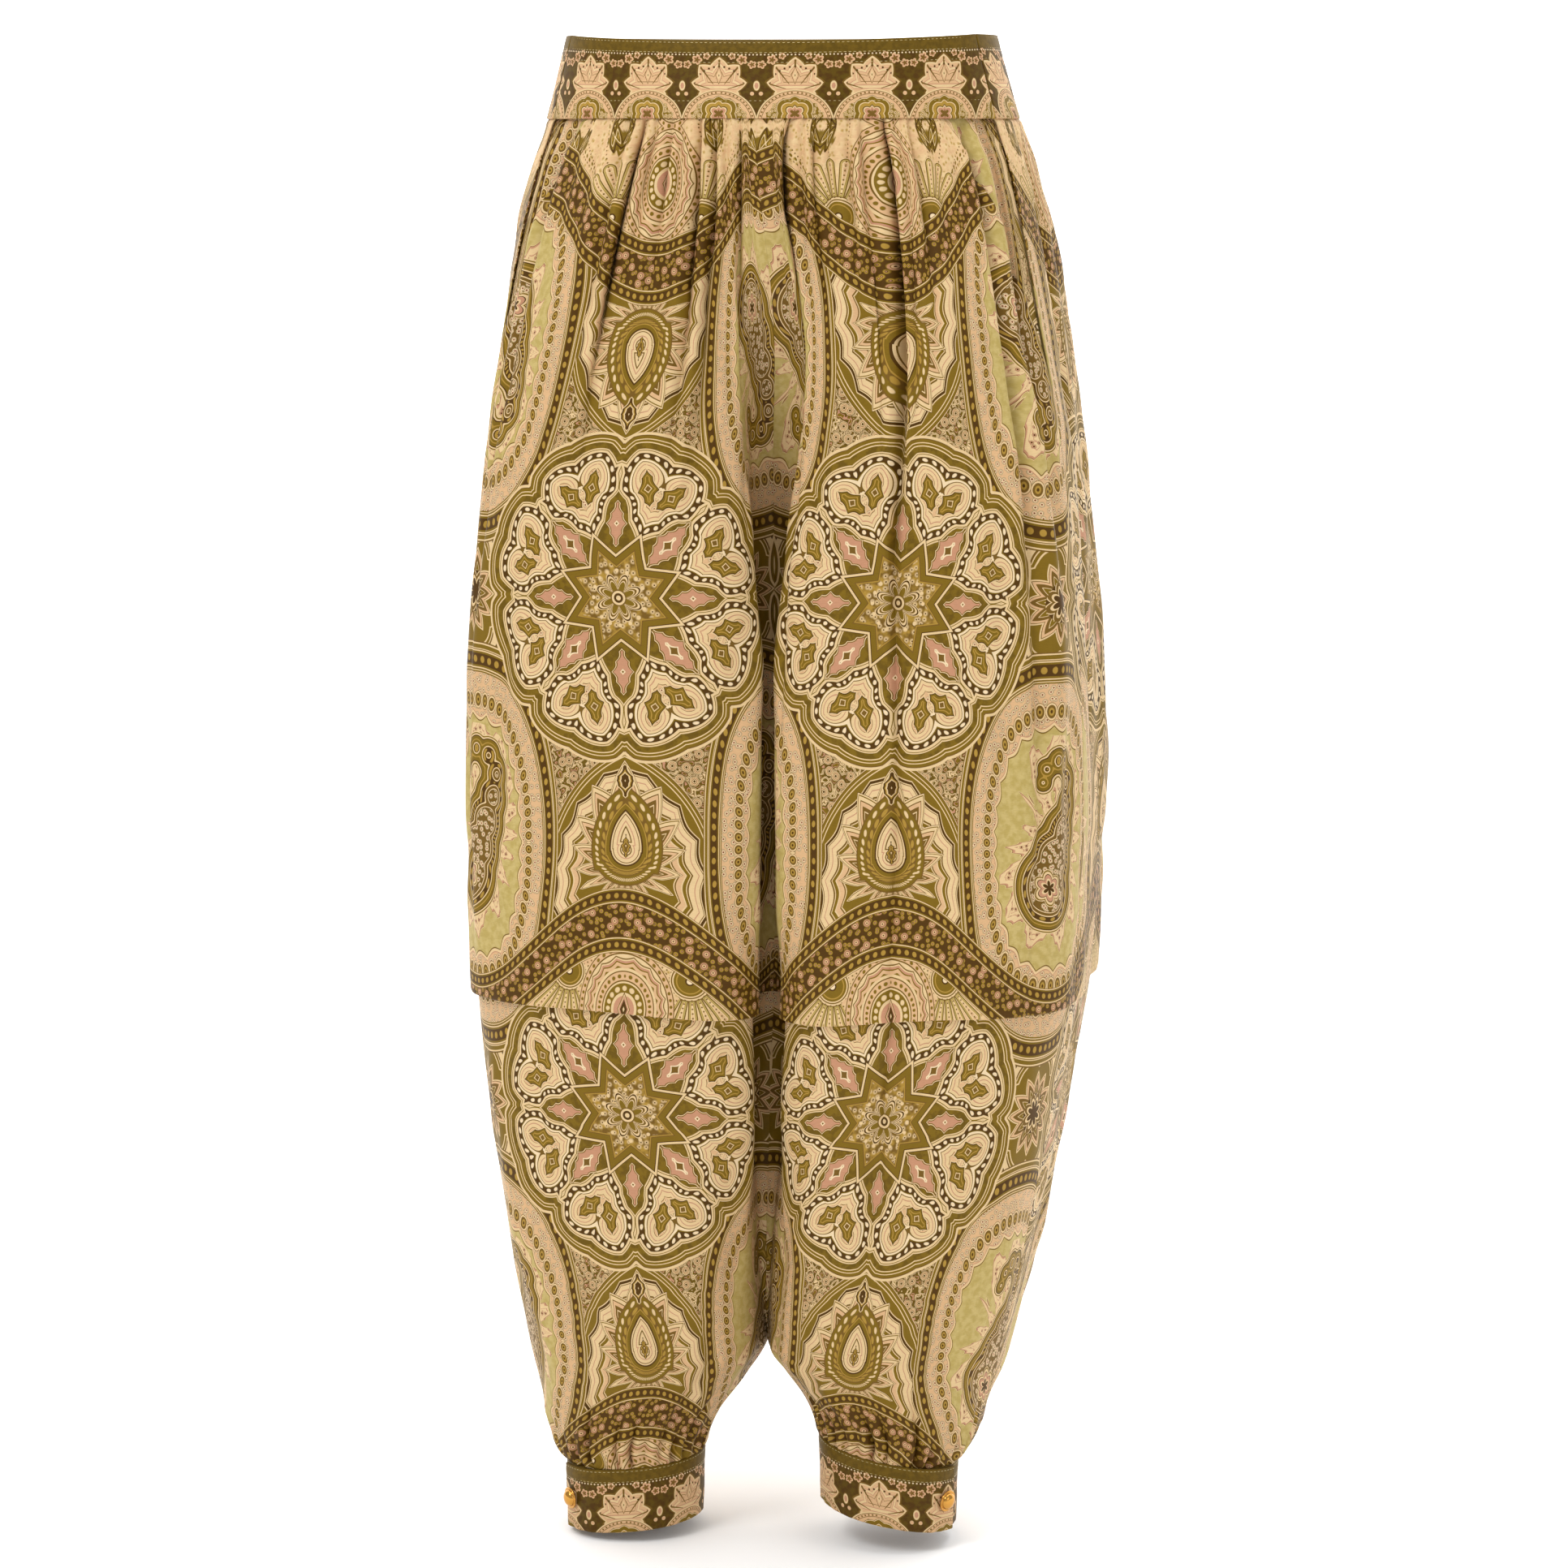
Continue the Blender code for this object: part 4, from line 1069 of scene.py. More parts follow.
BORDER_FLOWERS = ((14.5, 13.4, 3.2), (8.2, 10.8, 2.2), (21.0, 16.6, 2.6))  # across, down, radius
STAR_SCALE = 0.98
STAR_POINT = 40.0  # the star's points and notches, from its middle
STAR_NOTCH = 25.0
LEAF_FAR = 70.0  # the middles of the leaves round it
LOZENGE_FAR = 46.0
RINGS_FAR = 74.0
DROP_DOWN = 160.0  # the teardrop in a medallion, from the star's level
BUD_DOWN = 116.0
ARCH_DOWN = 186.0
EGG_DOWN = 262.0
FAN_PLACE = (40.0, 240.0)
EIGHTH = math.pi / 8


def ink(colour):
    """A colour as it looks on screen, turned into the light that it sends back."""
    return tuple(((c + 0.055) / 1.055) ** 2.4 if c > 0.04 else c / 12.92 for c in colour) + (1.0,)


class Number:
    """A value that a shader works out. Arithmetic on it adds nodes."""

    def __init__(self, socket):
        self.socket = socket

    def __add__(self, other):
        return maths("ADD", self, other)

    def __sub__(self, other):
        return maths("SUBTRACT", self, other)

    def __rsub__(self, other):
        return maths("SUBTRACT", other, self)

    def __mul__(self, other):
        return maths("MULTIPLY", self, other)

    def __truediv__(self, other):
        return maths("DIVIDE", self, other)


def maths(operation, *values, clamp=False):
    """One step of arithmetic on numbers, of which one at least is a Number."""
    tree = next(value for value in values if isinstance(value, Number)).socket.id_data
    node = tree.nodes.new("ShaderNodeMath")
    node.operation = operation
    node.use_clamp = clamp
    for slot, value in zip(node.inputs, values):
        if isinstance(value, Number):
            tree.links.new(value.socket, slot)
        else:
            slot.default_value = value
    return Number(node.outputs[0])


def sine(value):
    return maths("SINE", value)


def cosine(value):
    return maths("COSINE", value)


def size(value):
    return maths("ABSOLUTE", value)


def least(first, second):
    return maths("MINIMUM", first, second)


def most(first, second):
    return maths("MAXIMUM", first, second)


def length(x, y):
    return maths("SQRT", maths("MULTIPLY_ADD", x, x, y * y))


def angle(x, y):
    return maths("ARCTAN2", y, x)


def folded(value, half):
    """The value, running up to half and back down again."""
    return maths("PINGPONG", value, half)


def zigzag(value, pitch):
    """A zigzag between 0 and 1."""
    return folded(value, pitch / 2) * (2 / pitch)


def inside(distance, limit=0.0, blur=0.35):
    """1 where the distance is below the limit, 0 elsewhere, with a slightly blurred edge."""
    return maths("MULTIPLY_ADD", distance, -1 / blur, 0.5 + limit / blur, clamp=True)


def beyond(distance, limit=0.0, blur=0.35):
    """1 where the distance is above the limit."""
    return maths("MULTIPLY_ADD", distance, 1 / blur, 0.5 - limit / blur, clamp=True)


def both(first, second):
    return maths("MULTIPLY", first, second)


def paint(base, mask, colour):
    """The colour over the base, where the mask is 1."""
    tree = mask.socket.id_data
    mix = tree.nodes.new("ShaderNodeMix")
    mix.data_type = "RGBA"
    tree.links.new(mask.socket, mix.inputs[0])
    for slot, value in ((mix.inputs[6], base), (mix.inputs[7], colour)):
        if isinstance(value, tuple):
            slot.default_value = ink(value)
        else:
            tree.links.new(value, slot)
    return mix.outputs[2]


def bands(distance, *stops):
    """Bands of colour beside an outline. Each stop is the distance where a band begins, and its colour."""
    low, high = stops[0][0], stops[-1][0] + 0.3
    tree = distance.socket.id_data
    node = tree.nodes.new("ShaderNodeValToRGB")
    node.color_ramp.interpolation = "CONSTANT"
    steps = node.color_ramp.elements
    steps.remove(steps[1])
    for place, (begins, colour) in enumerate(stops):
        step = steps[0] if place == 0 else steps.new((begins - low) / (high - low))
        step.position = (begins - low) / (high - low)
        step.color = ink(colour)
    scaled = maths("MULTIPLY_ADD", distance, 1 / (high - low), -low / (high - low))
    tree.links.new(scaled.socket, node.inputs[0])
    return node.outputs[0]


def inlay(base, distance, limit, *stops):
    """Bands of colour that follow an outline, laid over the base as far as the limit."""
    return paint(base, inside(distance, limit), bands(distance, *stops))


def dots(along, across, pitch, radius):
    """A row of dots along a line. across is the distance from the middle of the row."""
    return inside(length(folded(along, pitch / 2), across), radius)


def blotches(tree, vector, scale, detail=2.0):
    """Soft random blotches, between 0 and 1."""
    node = tree.nodes.new("ShaderNodeTexNoise")
    node.inputs["Scale"].default_value = scale
    node.inputs["Detail"].default_value = detail
    tree.links.new(vector, node.inputs["Vector"])
    return Number(node.outputs[0])


def scattered(tree, vector, scale):
    """Distance to the nearest point of a random scatter, in pitches."""
    node = tree.nodes.new("ShaderNodeTexVoronoi")
    node.voronoi_dimensions = "2D"
    node.inputs["Scale"].default_value = scale
    node.inputs["Randomness"].default_value = 0.8
    tree.links.new(vector, node.inputs["Vector"])
    return Number(node.outputs["Distance"])


def cloth_places(tree):
    """Across and down the cloth, in millimetres, and as a vector in metres."""
    uv = tree.nodes.new("ShaderNodeUVMap")
    uv.uv_map = "cloth"
    split = tree.nodes.new("ShaderNodeSeparateXYZ")
    tree.links.new(uv.outputs[0], split.inputs[0])
    return Number(split.outputs[0]) * 1000.0, Number(split.outputs[1]) * 1000.0, uv.outputs[0]


def guard_band(base, distance, along, start):
    """A dotted band that follows an edge: 9 mm wide, beginning at start from the edge."""
    across = size(distance - (start + 4.5))
    base = inlay(base, across, 4.5, (0.0, DARK), (2.6, OLIVE), (3.5, CREAM), (4.1, BROWN))
    return paint(base, dots(along, across, 5.6, 1.55), MUSTARD)


def posies(far, ground):
    """Small outlined flowers strewn over a ground."""
    return bands(
        far, (0.0, DARK), (0.09, PINK), (0.17, WHITE), (0.27, OLIVE), (0.33, WHITE), (0.38, BROWN),
        (0.42, ground),
    )


def rosette_leaf(x, y):
    """The distance from the edge of a heart-shaped leaf that points to the star, and the angle in it."""
    lobe = length(x - 5.0, y - 11.5) - 14.5
    slant = math.radians(40)
    tip = most((x + 28.0) * -math.sin(slant) + y * math.cos(slant), x - 5.0)
    turn = angle(x + 2.0, y)
    return least(lobe, tip) + size(sine(turn * 3.5)) * 1.8 - 1.0, turn


def leaf_tulips(base, x, y):
    """A pair of tulips on each leaf."""
    turn = angle(x + 13.0, y) - 0.56
    far = length(x + 13.0, y)
    tulip = size(turn) * far * 0.86 + size(far - 15.5) * 0.44 - 6.0
    tulip = tulip + size(sine(far * 0.42)) * 1.2
    return inlay(
        base, tulip, 0.9, (-6.0, BROWN), (-4.2, CREAM), (-3.6, OLIVE), (-2.2, MUSTARD), (-1.5, OLIVE),
        (-0.3, DARK), (0.3, CREAM),
    )


def rosette_leaves(base, radius, from_point, posy, mottle):
    """Eight leaves on an olive ground that is echoed by thin lines."""
    x = radius * cosine(from_point) - LEAF_FAR
    y = radius * sine(from_point)
    leaf, turn = rosette_leaf(x, y)
    ground = least(leaf, radius - RINGS_FAR)
    velvet = paint(OLIVE, inside(mottle, 0.5, 0.16), DEEP_OLIVE)
    base = inlay(
        base, ground, 15.0, (5.0, OLIVE), (8.2, CREAM), (8.9, OLIVE), (10.3, CREAM), (10.9, OLIVE),
        (12.6, BROWN), (13.3, CREAM),
    )
    base = paint(base, inside(ground, 8.0), velvet)
    base = inlay(
        base, leaf, 4.4, (-10.2, PEACH), (-9.3, BROWN), (-8.9, CREAM), (-6.6, PINK), (-6.0, CREAM),
        (-4.4, BROWN), (-3.9, WHITE), (-2.6, OLIVE), (-2.1, DARK), (1.6, CREAM), (3.1, OLIVE),
        (3.6, CREAM),
    )
    base = paint(base, dots(turn * 17.0, leaf + 0.3, 4.3, 1.15), WHITE)
    base = paint(base, both(inside(leaf, -10.2), inside(posy, 0.42)), posies(posy, PEACH))
    return leaf_tulips(base, x, y)


def star_lozenges(base, radius, turn, from_notch):
    """Lozenges between the star's points, four slim and four wide."""
    along = radius * cosine(from_notch) - LOZENGE_FAR
    wide = beyond(folded(turn, math.pi / 4), EIGHTH)
    lozenge = size(along) * 0.42 + radius * sine(from_notch) + size(sine(along * 0.5)) * 1.2
    lozenge = lozenge - wide * 2.0 - 6.0
    return inlay(
        base, lozenge, 1.6, (-6.0, BROWN), (-5.2, WHITE), (-4.2, PINK), (0.0, BROWN), (0.6, CREAM),
        (1.2, DARK),
    )


def star(base, radius, from_point, posy, mottle):
    """The star: one straight side of a point, which the folded angle repeats."""
    x = radius * cosine(from_point)
    y = radius * sine(from_point)
    side = Vector((STAR_NOTCH * math.cos(EIGHTH) - STAR_POINT, STAR_NOTCH * math.sin(EIGHTH)))
    across = Vector((side.y, -side.x)).normalized()
    edge = (x - STAR_POINT) * across.x + y * across.y
    worn = paint(BROWN, inside(mottle, 0.47, 0.2), MUSTARD)
    base = inlay(
        base, edge, 2.0, (-4.9, MUSTARD), (-4.3, BROWN), (-3.6, OLIVE), (-0.4, DARK), (0.2, CREAM),
        (1.6, DARK),
    )
    base = paint(base, inside(edge, -4.9), worn)
    specks = bands(posy, (0.0, DARK), (0.12, CREAM))
    return paint(base, both(inside(edge, -5.4), inside(posy, 0.30)), specks)


def star_flower(base, radius, turn):
    """The flower in the star's middle, with sixteen dots round it."""
    petals = size(sine(turn * 4.0))
    flower = radius - petals * 8.0 - 7.0
    base = inlay(
        base, flower, 1.0, (-8.0, OLIVE), (-4.4, CREAM), (-3.6, BROWN), (-2.2, CREAM), (-0.8, DARK),
        (0.3, CREAM),
    )
    base = paint(base, dots(turn * 17.0, radius - 17.0, 2 * math.pi * 17.0 / 16, 1.2), CREAM)
    return inlay(base, radius, 5.2, (0.0, CREAM), (1.5, DARK), (3.0, CREAM), (4.4, BROWN))


def star_rosette(base, x, y, posy, mottle):
    """An eight-pointed star, ringed by eight leaves that its points touch."""
    radius = length(x, y)
    turn = angle(x, y)
    from_notch = folded(turn, EIGHTH)
    from_point = EIGHTH - from_notch
    base = rosette_leaves(base, radius, from_point, posy, mottle)
    base = star_lozenges(base, radius, turn, from_notch)
    base = star(base, radius, from_point, posy, mottle)
    return star_flower(base, radius, turn)


def teardrop(base, x, y, turn):
    """A teardrop in a ring of pointed leaves, with seeds in it and a bud above its tip."""
    low = length(x, y - DROP_DOWN) - 8.6
    high = length(x + 23.0, y - (DROP_DOWN - 1.0)) - 32.0
    drop = most(high, least(low, y - DROP_DOWN))
    leaves = drop + zigzag(turn, EIGHTH) * 13.0
    base = inlay(
        base, leaves, 29.0, (10.0, BROWN), (17.0, CREAM), (17.8, BROWN), (20.6, PEACH), (23.4, BROWN),
        (24.2, CREAM), (26.8, OLIVE), (27.6, CREAM), (28.6, DARK),
    )
    base = inlay(
        base, drop, 14.6, (-6.4, CREAM), (-5.6, BROWN), (-4.8, CREAM), (-3.4, PINK), (-2.8, CREAM),
        (-0.6, BROWN), (0.0, CREAM), (0.9, DARK), (2.0, OLIVE), (4.2, MUSTARD), (4.8, BROWN), (8.2, OLIVE),
        (13.6, BROWN),
    )
    base = paint(base, dots(turn * 22.0, drop - 6.5, 3.6, 1.25), MUSTARD)
    base = paint(base, dots(turn * 26.0 + 1.8, drop - 10.8, 3.6, 1.15), CREAM)
    heart = size(x) * 1.5 + size(y - (DROP_DOWN - 2.0)) * 0.62 + size(sine(y * 0.9)) * 1.3
    base = inlay(base, heart, 5.6, (0.0, CREAM), (1.2, BROWN), (3.4, MUSTARD), (4.6, DARK))
    bud = size(x) + size(y - BUD_DOWN) * 0.62 + size(sine(y * 0.5)) * 1.2
    return inlay(
        base, bud, 7.6, (0.0, CREAM), (1.6, DARK), (4.0, CREAM), (4.8, MUSTARD), (5.6, DARK), (6.8, CREAM),
    )


def ogee_medallion(base, x, y):
    """A pointed medallion of echoing scallops, with a teardrop in it."""
    arch = length(x + 38.0, y - ARCH_DOWN) - 90.0
    turn = angle(x, ARCH_DOWN - 12.0 - y)
    scallop = arch + size(sine(turn * 7.0)) * 3.4
    base = inlay(
        base, arch, 8.6, (0.0, OLIVE), (3.2, CREAM), (3.9, OLIVE), (5.6, CREAM), (6.2, OLIVE),
        (7.6, BROWN), (8.2, CREAM),
    )
    base = inlay(
        base, scallop, 1.2, (-30.0, OLIVE), (-18.2, CREAM), (-17.4, BROWN), (-16.6, PEACH), (-13.4, CREAM),
        (-12.6, OLIVE), (-10.4, CREAM), (-9.8, BROWN), (-8.8, CREAM), (-5.4, PINK), (-4.8, CREAM),
        (-2.2, BROWN), (-1.7, CREAM), (-1.1, DARK), (0.5, CREAM),
    )
    return teardrop(base, x, y, turn)


def boteh_shape(x, y):
    """How far a place is from a curled teardrop, 115 mm tall."""
    shape = length(x + 5.0, y - 24.0) - 28.0
    for centre_x, centre_y, radius in BOTEH_CIRCLES:
        circle = length(x - centre_x, y - centre_y) - radius
        shape = maths("SMOOTH_MIN", shape, circle, 4.0)
    return shape


def field_frame(base, x, y, fine, mottle):
    """A sage field in a scalloped frame, with rosettes, small flowers and a dotted band round it, and the
    distance from its edge."""
    across = maths("POWER", size(x / FIELD_WIDE), FIELD_SQUARE)
    ratio = across + maths("POWER", size(y / FIELD_TALL), FIELD_SQUARE)
    edge = (maths("POWER", ratio, 1 / FIELD_SQUARE) - 1.0) * FIELD_EVEN
    turn = angle(x / FIELD_WIDE, y / FIELD_TALL)
    along = maths("MULTIPLY_ADD", sine(turn * 2.0), 9.0, turn * 76.0)
    scalloped = edge + size(sine(along * (math.pi / 17.0))) * 3.0
    base = inlay(
        base, edge, 33.0, (18.0, CREAM), (18.8, OLIVE), (19.6, CREAM), (20.0, OLIVE), (29.0, CREAM),
        (29.8, OLIVE), (31.6, CREAM), (32.3, BROWN),
    )
    base = guard_band(base, edge, along, 20.4)
    base = paint(base, inside(edge, 19.0), posies(fine, PEACH))
    base = inlay(base, scalloped, 2.4, (0.0, BROWN), (0.6, CREAM), (1.9, PINK))
    chain = length(folded(along, 3.9), edge - 6.6)
    base = inlay(base, chain, 4.1, (0.0, DARK), (0.8, MUSTARD), (1.8, BROWN), (3.0, CREAM), (3.8, BROWN))
    sage = paint(SAGE, inside(mottle, 0.5, 0.2), PALE_SAGE)
    return paint(base, inside(scalloped), sage), edge


def boteh(base, x, y, within, fine):
    """A boteh with a spiky fringe, small flowers and one large flower in it."""
    shape = boteh_shape(x * -1.0, y)
    spoke = angle(x + 6.0, y + 4.0)
    fringe = size(sine(spoke * 36.0)) * 2.2
    spikes = shape + zigzag(spoke, EIGHTH) * 15.0 + fringe
    base = paint(base, both(within, inside(spikes, 18.4)), bands(
        spikes, (4.0, CREAM), (8.0, PINK), (8.8, CREAM), (11.5, PINK), (12.3, CREAM), (16.4, PINK),
        (17.6, BROWN), (18.0, CREAM),
    ))
    base = paint(base, both(within, both(inside(spikes, 12.0), inside(fine, 0.34))), bands(
        fine, (0.0, DARK), (0.12, PINK), (0.24, BROWN), (0.30, CREAM),
    ))
    base = inlay(
        base, shape, 3.2, (-11.5, DARK), (-11.0, CREAM), (-10.4, BROWN), (-8.6, CREAM), (-7.9, DARK),
        (-4.6, CREAM), (-3.9, OLIVE), (-2.3, MUSTARD), (-1.6, OLIVE), (0.2, DARK), (0.9, CREAM),
        (1.7, OLIVE), (2.5, CREAM),
    )
    base = paint(base, dots(spoke * 26.0, shape + 6.2, 4.0, 1.1), MUSTARD)
    base = paint(base, inside(shape, -11.4), posies(fine, BROWN))
    flower_x, flower_y = x - 5.0, y - 25.0
    petal = length(flower_x, flower_y) - size(sine(angle(flower_x, flower_y) * 3.0)) * 3.4
    return inlay(
        base, petal, 9.2, (0.0, DARK), (1.6, CREAM), (3.0, PINK), (5.4, DARK), (6.0, CREAM), (7.6, OLIVE),
        (8.6, CREAM),
    )


def side_medallion(base, x, y):
    """A round medallion of echoing petals, between the fields."""
    far = length(x, y)
    turn = angle(x, y)
    rim = far + size(sine(turn * 4.0)) * -4.5
    base = inlay(
        base, rim, 47.0, (0.0, DARK), (4.0, CREAM), (6.0, BROWN), (9.0, CREAM), (10.0, DARK),
        (14.0, OLIVE), (30.0, CREAM), (31.0, OLIVE), (33.0, CREAM), (33.8, BROWN), (35.0, CREAM),
        (39.6, DARK), (42.4, CREAM), (43.4, OLIVE), (45.0, CREAM), (45.8, OLIVE),
    )
    base = paint(base, dots(turn * 40.0, rim - 41.0, 4.2, 1.0), WHITE)
    teeth = far + zigzag(turn, math.pi / 6) * 9.0
    return paint(base, both(inside(teeth, 28.0), beyond(far, 13.0)), bands(
        teeth, (13.0, CREAM), (14.0, OLIVE), (18.0, CREAM), (18.8, BROWN), (23.0, PEACH), (25.6, BROWN),
        (26.4, CREAM),
    ))


def trailing_band(base, x, wave, posy, fine):
    """A dark band of trailing flowers between two dotted bands, in a long wave."""
    base = guard_band(base, wave, x * 1.03, -18.5)
    base = guard_band(base, wave, x * 1.03, 9.5)
    leaves = bands(fine, (0.0, PINK), (0.08, DARK), (0.14, MUSTARD), (0.28, OLIVE), (0.36, DARK))
    base = paint(base, inside(size(wave), 9.5), leaves)
    return paint(base, both(inside(size(wave), 9.0), inside(posy, 0.33)), bands(
        posy, (0.0, DARK), (0.05, PEACH), (0.13, BROWN), (0.16, PINK), (0.25, OLIVE), (0.29, DARK),
    ))


def tulips(base, x, y, lean):
    """A pair of dark tulips on stalks, side by side."""
    turned_x = (size(x) - 5.5) * math.cos(lean) - y * math.sin(lean)
    turned_y = (size(x) - 5.5) * math.sin(lean) + y * math.cos(lean)
    petal_x = folded(turned_x + 2.4, 2.4)
    bloom = length(turned_x, turned_y * 0.62) - 5.4 - cosine(petal_x * 1.2) * 0.9
    stalk = most(size(turned_x) - 0.7, most(turned_y, (turned_y + 17.0) * -1.0))
    base = paint(base, inside(stalk), OLIVE)
    return paint(base, inside(bloom, 0.7), bands(
        bloom + petal_x * 0.9, (-5.0, MUSTARD), (-3.6, OLIVE), (-2.6, CREAM), (-1.9, OLIVE), (-0.6, DARK),
        (0.9, OLIVE),
    ))


def petal_fan(base, x, y):
    """A fan of long petals round a small disc."""
    far = length(x, y)
    turn = angle(x, y)
    petal_x = folded(turn + 0.16, 0.16) * far
    petal = least(most(petal_x - 0.4 - far * 0.085, far - 34.0), length(petal_x, far - 34.0) - 3.3)
    petal = most(petal, 13.0 - far)
    here = both(inside(size(turn - 0.62), 1.42, 0.01), inside(petal, 1.0))
    base = paint(base, here, bands(
        petal, (-3.6, OLIVE), (-2.9, PEACH), (-2.0, CREAM), (-1.1, MUSTARD), (-0.7, SAGE), (-0.1, BROWN),
        (0.6, CREAM),
    ))
    base = paint(base, dots(far, petal_x, 3.0, 0.55), BROWN)
    return inlay(
        base, far, 12.0, (0.0, WHITE), (1.8, DARK), (2.8, OLIVE), (7.4, MUSTARD), (8.2, OLIVE),
        (9.6, CREAM), (10.4, BROWN), (11.2, CREAM),
    )


def ringed_egg(base, x, y):
    """An egg of dotted rings with a slim leaf in it."""
    egg = length(x, y * 0.78) * 0.88
    turn = angle(x, y)
    scalloped = egg + size(sine(turn * 9.0)) * 1.4
    base = inlay(
        base, egg, 28.0, (0.0, DARK), (2.0, CREAM), (3.4, PINK), (6.0, CREAM), (7.4, OLIVE), (11.6, CREAM),
        (12.4, BROWN), (13.0, PEACH), (16.6, BROWN), (17.2, CREAM), (18.4, OLIVE), (19.4, CREAM),
        (24.4, BROWN), (25.0, PEACH), (27.4, BROWN),
    )
    base = paint(base, both(inside(scalloped, 24.0), beyond(scalloped, 19.6)), bands(
        scalloped, (20.4, PEACH), (21.2, OLIVE), (21.8, PINK), (22.8, CREAM), (23.4, BROWN),
    ))
    base = paint(base, dots(turn * 22.0, egg - 26.2, 3.2, 0.8), OLIVE)
    base = paint(base, dots(turn * 15.0, egg - 14.8, 3.0, 0.9), OLIVE)
    base = paint(base, dots(turn * 9.0, egg - 9.4, 3.6, 1.2), CREAM)
    leaf = size(x) * 1.9 + size(y) * 0.7 - 8.0
    return inlay(base, leaf, 0.0, (-8.0, CREAM), (-6.8, DARK), (-3.4, PINK), (-1.8, CREAM), (-1.0, BROWN))


def spray(x, y, wave, mottle, fine):
    """Beyond the band: an egg of dotted rings, fans of long petals and tulips, on cream."""
    ground = paint(PEACH, inside(mottle, 0.52, 0.3), CREAM)
    ground = paint(ground, both(inside(fine, 0.20), inside(mottle, 0.50, 0.08)), MUSTARD)
    ground = paint(ground, dots(x, wave - 22.4, 2.6, 0.55), BROWN)
    ground = paint(ground, dots(x, wave - 25.0, 3.6, 1.0), OLIVE)
    ground = petal_fan(ground, x - FAN_PLACE[0], y - FAN_PLACE[1])
    ground = tulips(ground, x - 52.0, y - 292.0, 0.45)
    ground = tulips(ground, x - 100.0, y - 288.0, 0.30)
    return ringed_egg(ground, x, y - EGG_DOWN)


def foliage(tree, vector, posy):
    """The fine leaves and flowers of the ground between the motifs."""
    stalks = size(blotches(tree, vector, 150.0, 1.5) - 0.5)
    base = bands(
        stalks, (0.0, BROWN), (0.010, CREAM), (0.040, OLIVE), (0.052, CREAM), (0.062, DEEP_OLIVE),
        (0.13, PINK), (0.16, OLIVE),
    )
    return inlay(
        base, posy, 0.36, (0.0, DARK), (0.08, CREAM), (0.13, BROWN), (0.17, PEACH), (0.24, OLIVE),
        (0.27, CREAM), (0.32, DARK),
    )


def print_colour(tree):
    """The whole print of the body cloth."""
    seam_across, down, vector = cloth_places(tree)
    across = size(seam_across) - FIELD_ACROSS
    x = folded(across + TILE_WIDTH / 2, TILE_WIDTH / 2)
    y = folded(down - STAR_DOWN, TILE_HEIGHT / 2)
    field_x = maths("WRAP", across, TILE_WIDTH / 2, -TILE_WIDTH / 2) * maths("SIGN", seam_across)
    side_x = TILE_WIDTH / 2 - x
    mottle = blotches(tree, vector, 190.0)
    posy = scattered(tree, vector, 105.0)
    fine = scattered(tree, vector, 230.0)
    wave_turn = cosine(x * (2 * math.pi / TILE_WIDTH))
    wave = (y + wave_turn * ((WAVE_FAR - WAVE_NEAR) / 2) - (WAVE_FAR + WAVE_NEAR) / 2) * 0.9
    base = foliage(tree, vector, posy)
    base = side_medallion(base, side_x, y)
    base = ogee_medallion(base, x, y)
    base, field_edge = field_frame(base, field_x, y - FIELD_DOWN, fine, mottle)
    base = boteh(base, field_x, y - FIELD_DOWN, inside(field_edge, -4.0), fine)
    base = star_rosette(base, x * STAR_SCALE, y * STAR_SCALE, fine, mottle)
    base = paint(base, beyond(wave, 18.0), spray(x, y, wave, mottle, fine))
    base = trailing_band(base, x, wave, posy, fine)
    return base, vector


def border_arch(base, x, down, buds):
    """The arches under the palmettes, filled with small flowers."""
    arch = length(x * 0.96, down - 57.0) - 23.5
    arch_turn = angle(x, 57.0 - down)
    scallop = arch + size(sine(arch_turn * 8.0)) * 1.6
    base = inlay(
        base, arch, 0.0, (-8.0, PEACH), (-3.4, BROWN), (-3.0, PEACH), (-1.3, BROWN), (-0.9, CREAM),
    )
    base = paint(base, dots(arch_turn * 21.0, arch + 2.2, 2.6, 0.6), BROWN)
    base = paint(base, inside(scallop, -4.4), bands(
        buds, (0.0, DARK), (0.14, CREAM), (0.30, MUSTARD), (0.40, DARK), (0.44, CREAM), (0.52, OLIVE),
    ))
    rings = length(x, down - 50.0) - size(sine(angle(x, down - 50.0) * 2.5)) * 2.0
    return inlay(
        base, rings, 11.0, (0.0, BROWN), (1.4, PINK), (3.2, CREAM), (4.0, DARK), (4.6, MUSTARD),
        (7.0, CREAM), (7.6, OLIVE), (10.2, CREAM), (10.7, DARK),
    )


def palmette(base, x, down):
    """A palmette with veins and a bud in it, and the distance from its edge."""
    far = length(x, 35.0 - down)
    turn = angle(35.0 - down, x)
    lotus = far - 15.0 - cosine(turn) * 7.0 + zigzag(turn, 0.62) * 4.4 - 1.5
    lotus = most(lotus, down - 37.0)
    base = inlay(
        base, lotus, 1.2, (-14.0, BROWN), (-12.6, CREAM), (-11.6, PINK), (-10.8, PEACH), (-8.6, BROWN),
        (-8.2, PEACH), (-6.4, PINK), (-5.8, CREAM), (-4.0, PINK), (-3.4, PEACH), (-1.2, CREAM),
        (0.0, BROWN),
    )
    veins = both(inside(lotus, -1.5), inside(size(sine(turn * 5.0)), 0.16, 0.1))
    base = paint(base, both(veins, beyond(far, 6.0)), BROWN)
    base = paint(base, both(inside(lotus, -1.5), dots(turn * 17.0, far - 17.0, 3.4, 0.7)), DARK)
    bud = size(x) * 2.1 + size(down - 24.0) * 0.8 - 5.0
    base = inlay(base, bud, 0.0, (-5.0, BROWN), (-4.2, CREAM), (-2.6, PEACH), (-0.7, BROWN))
    return base, lotus


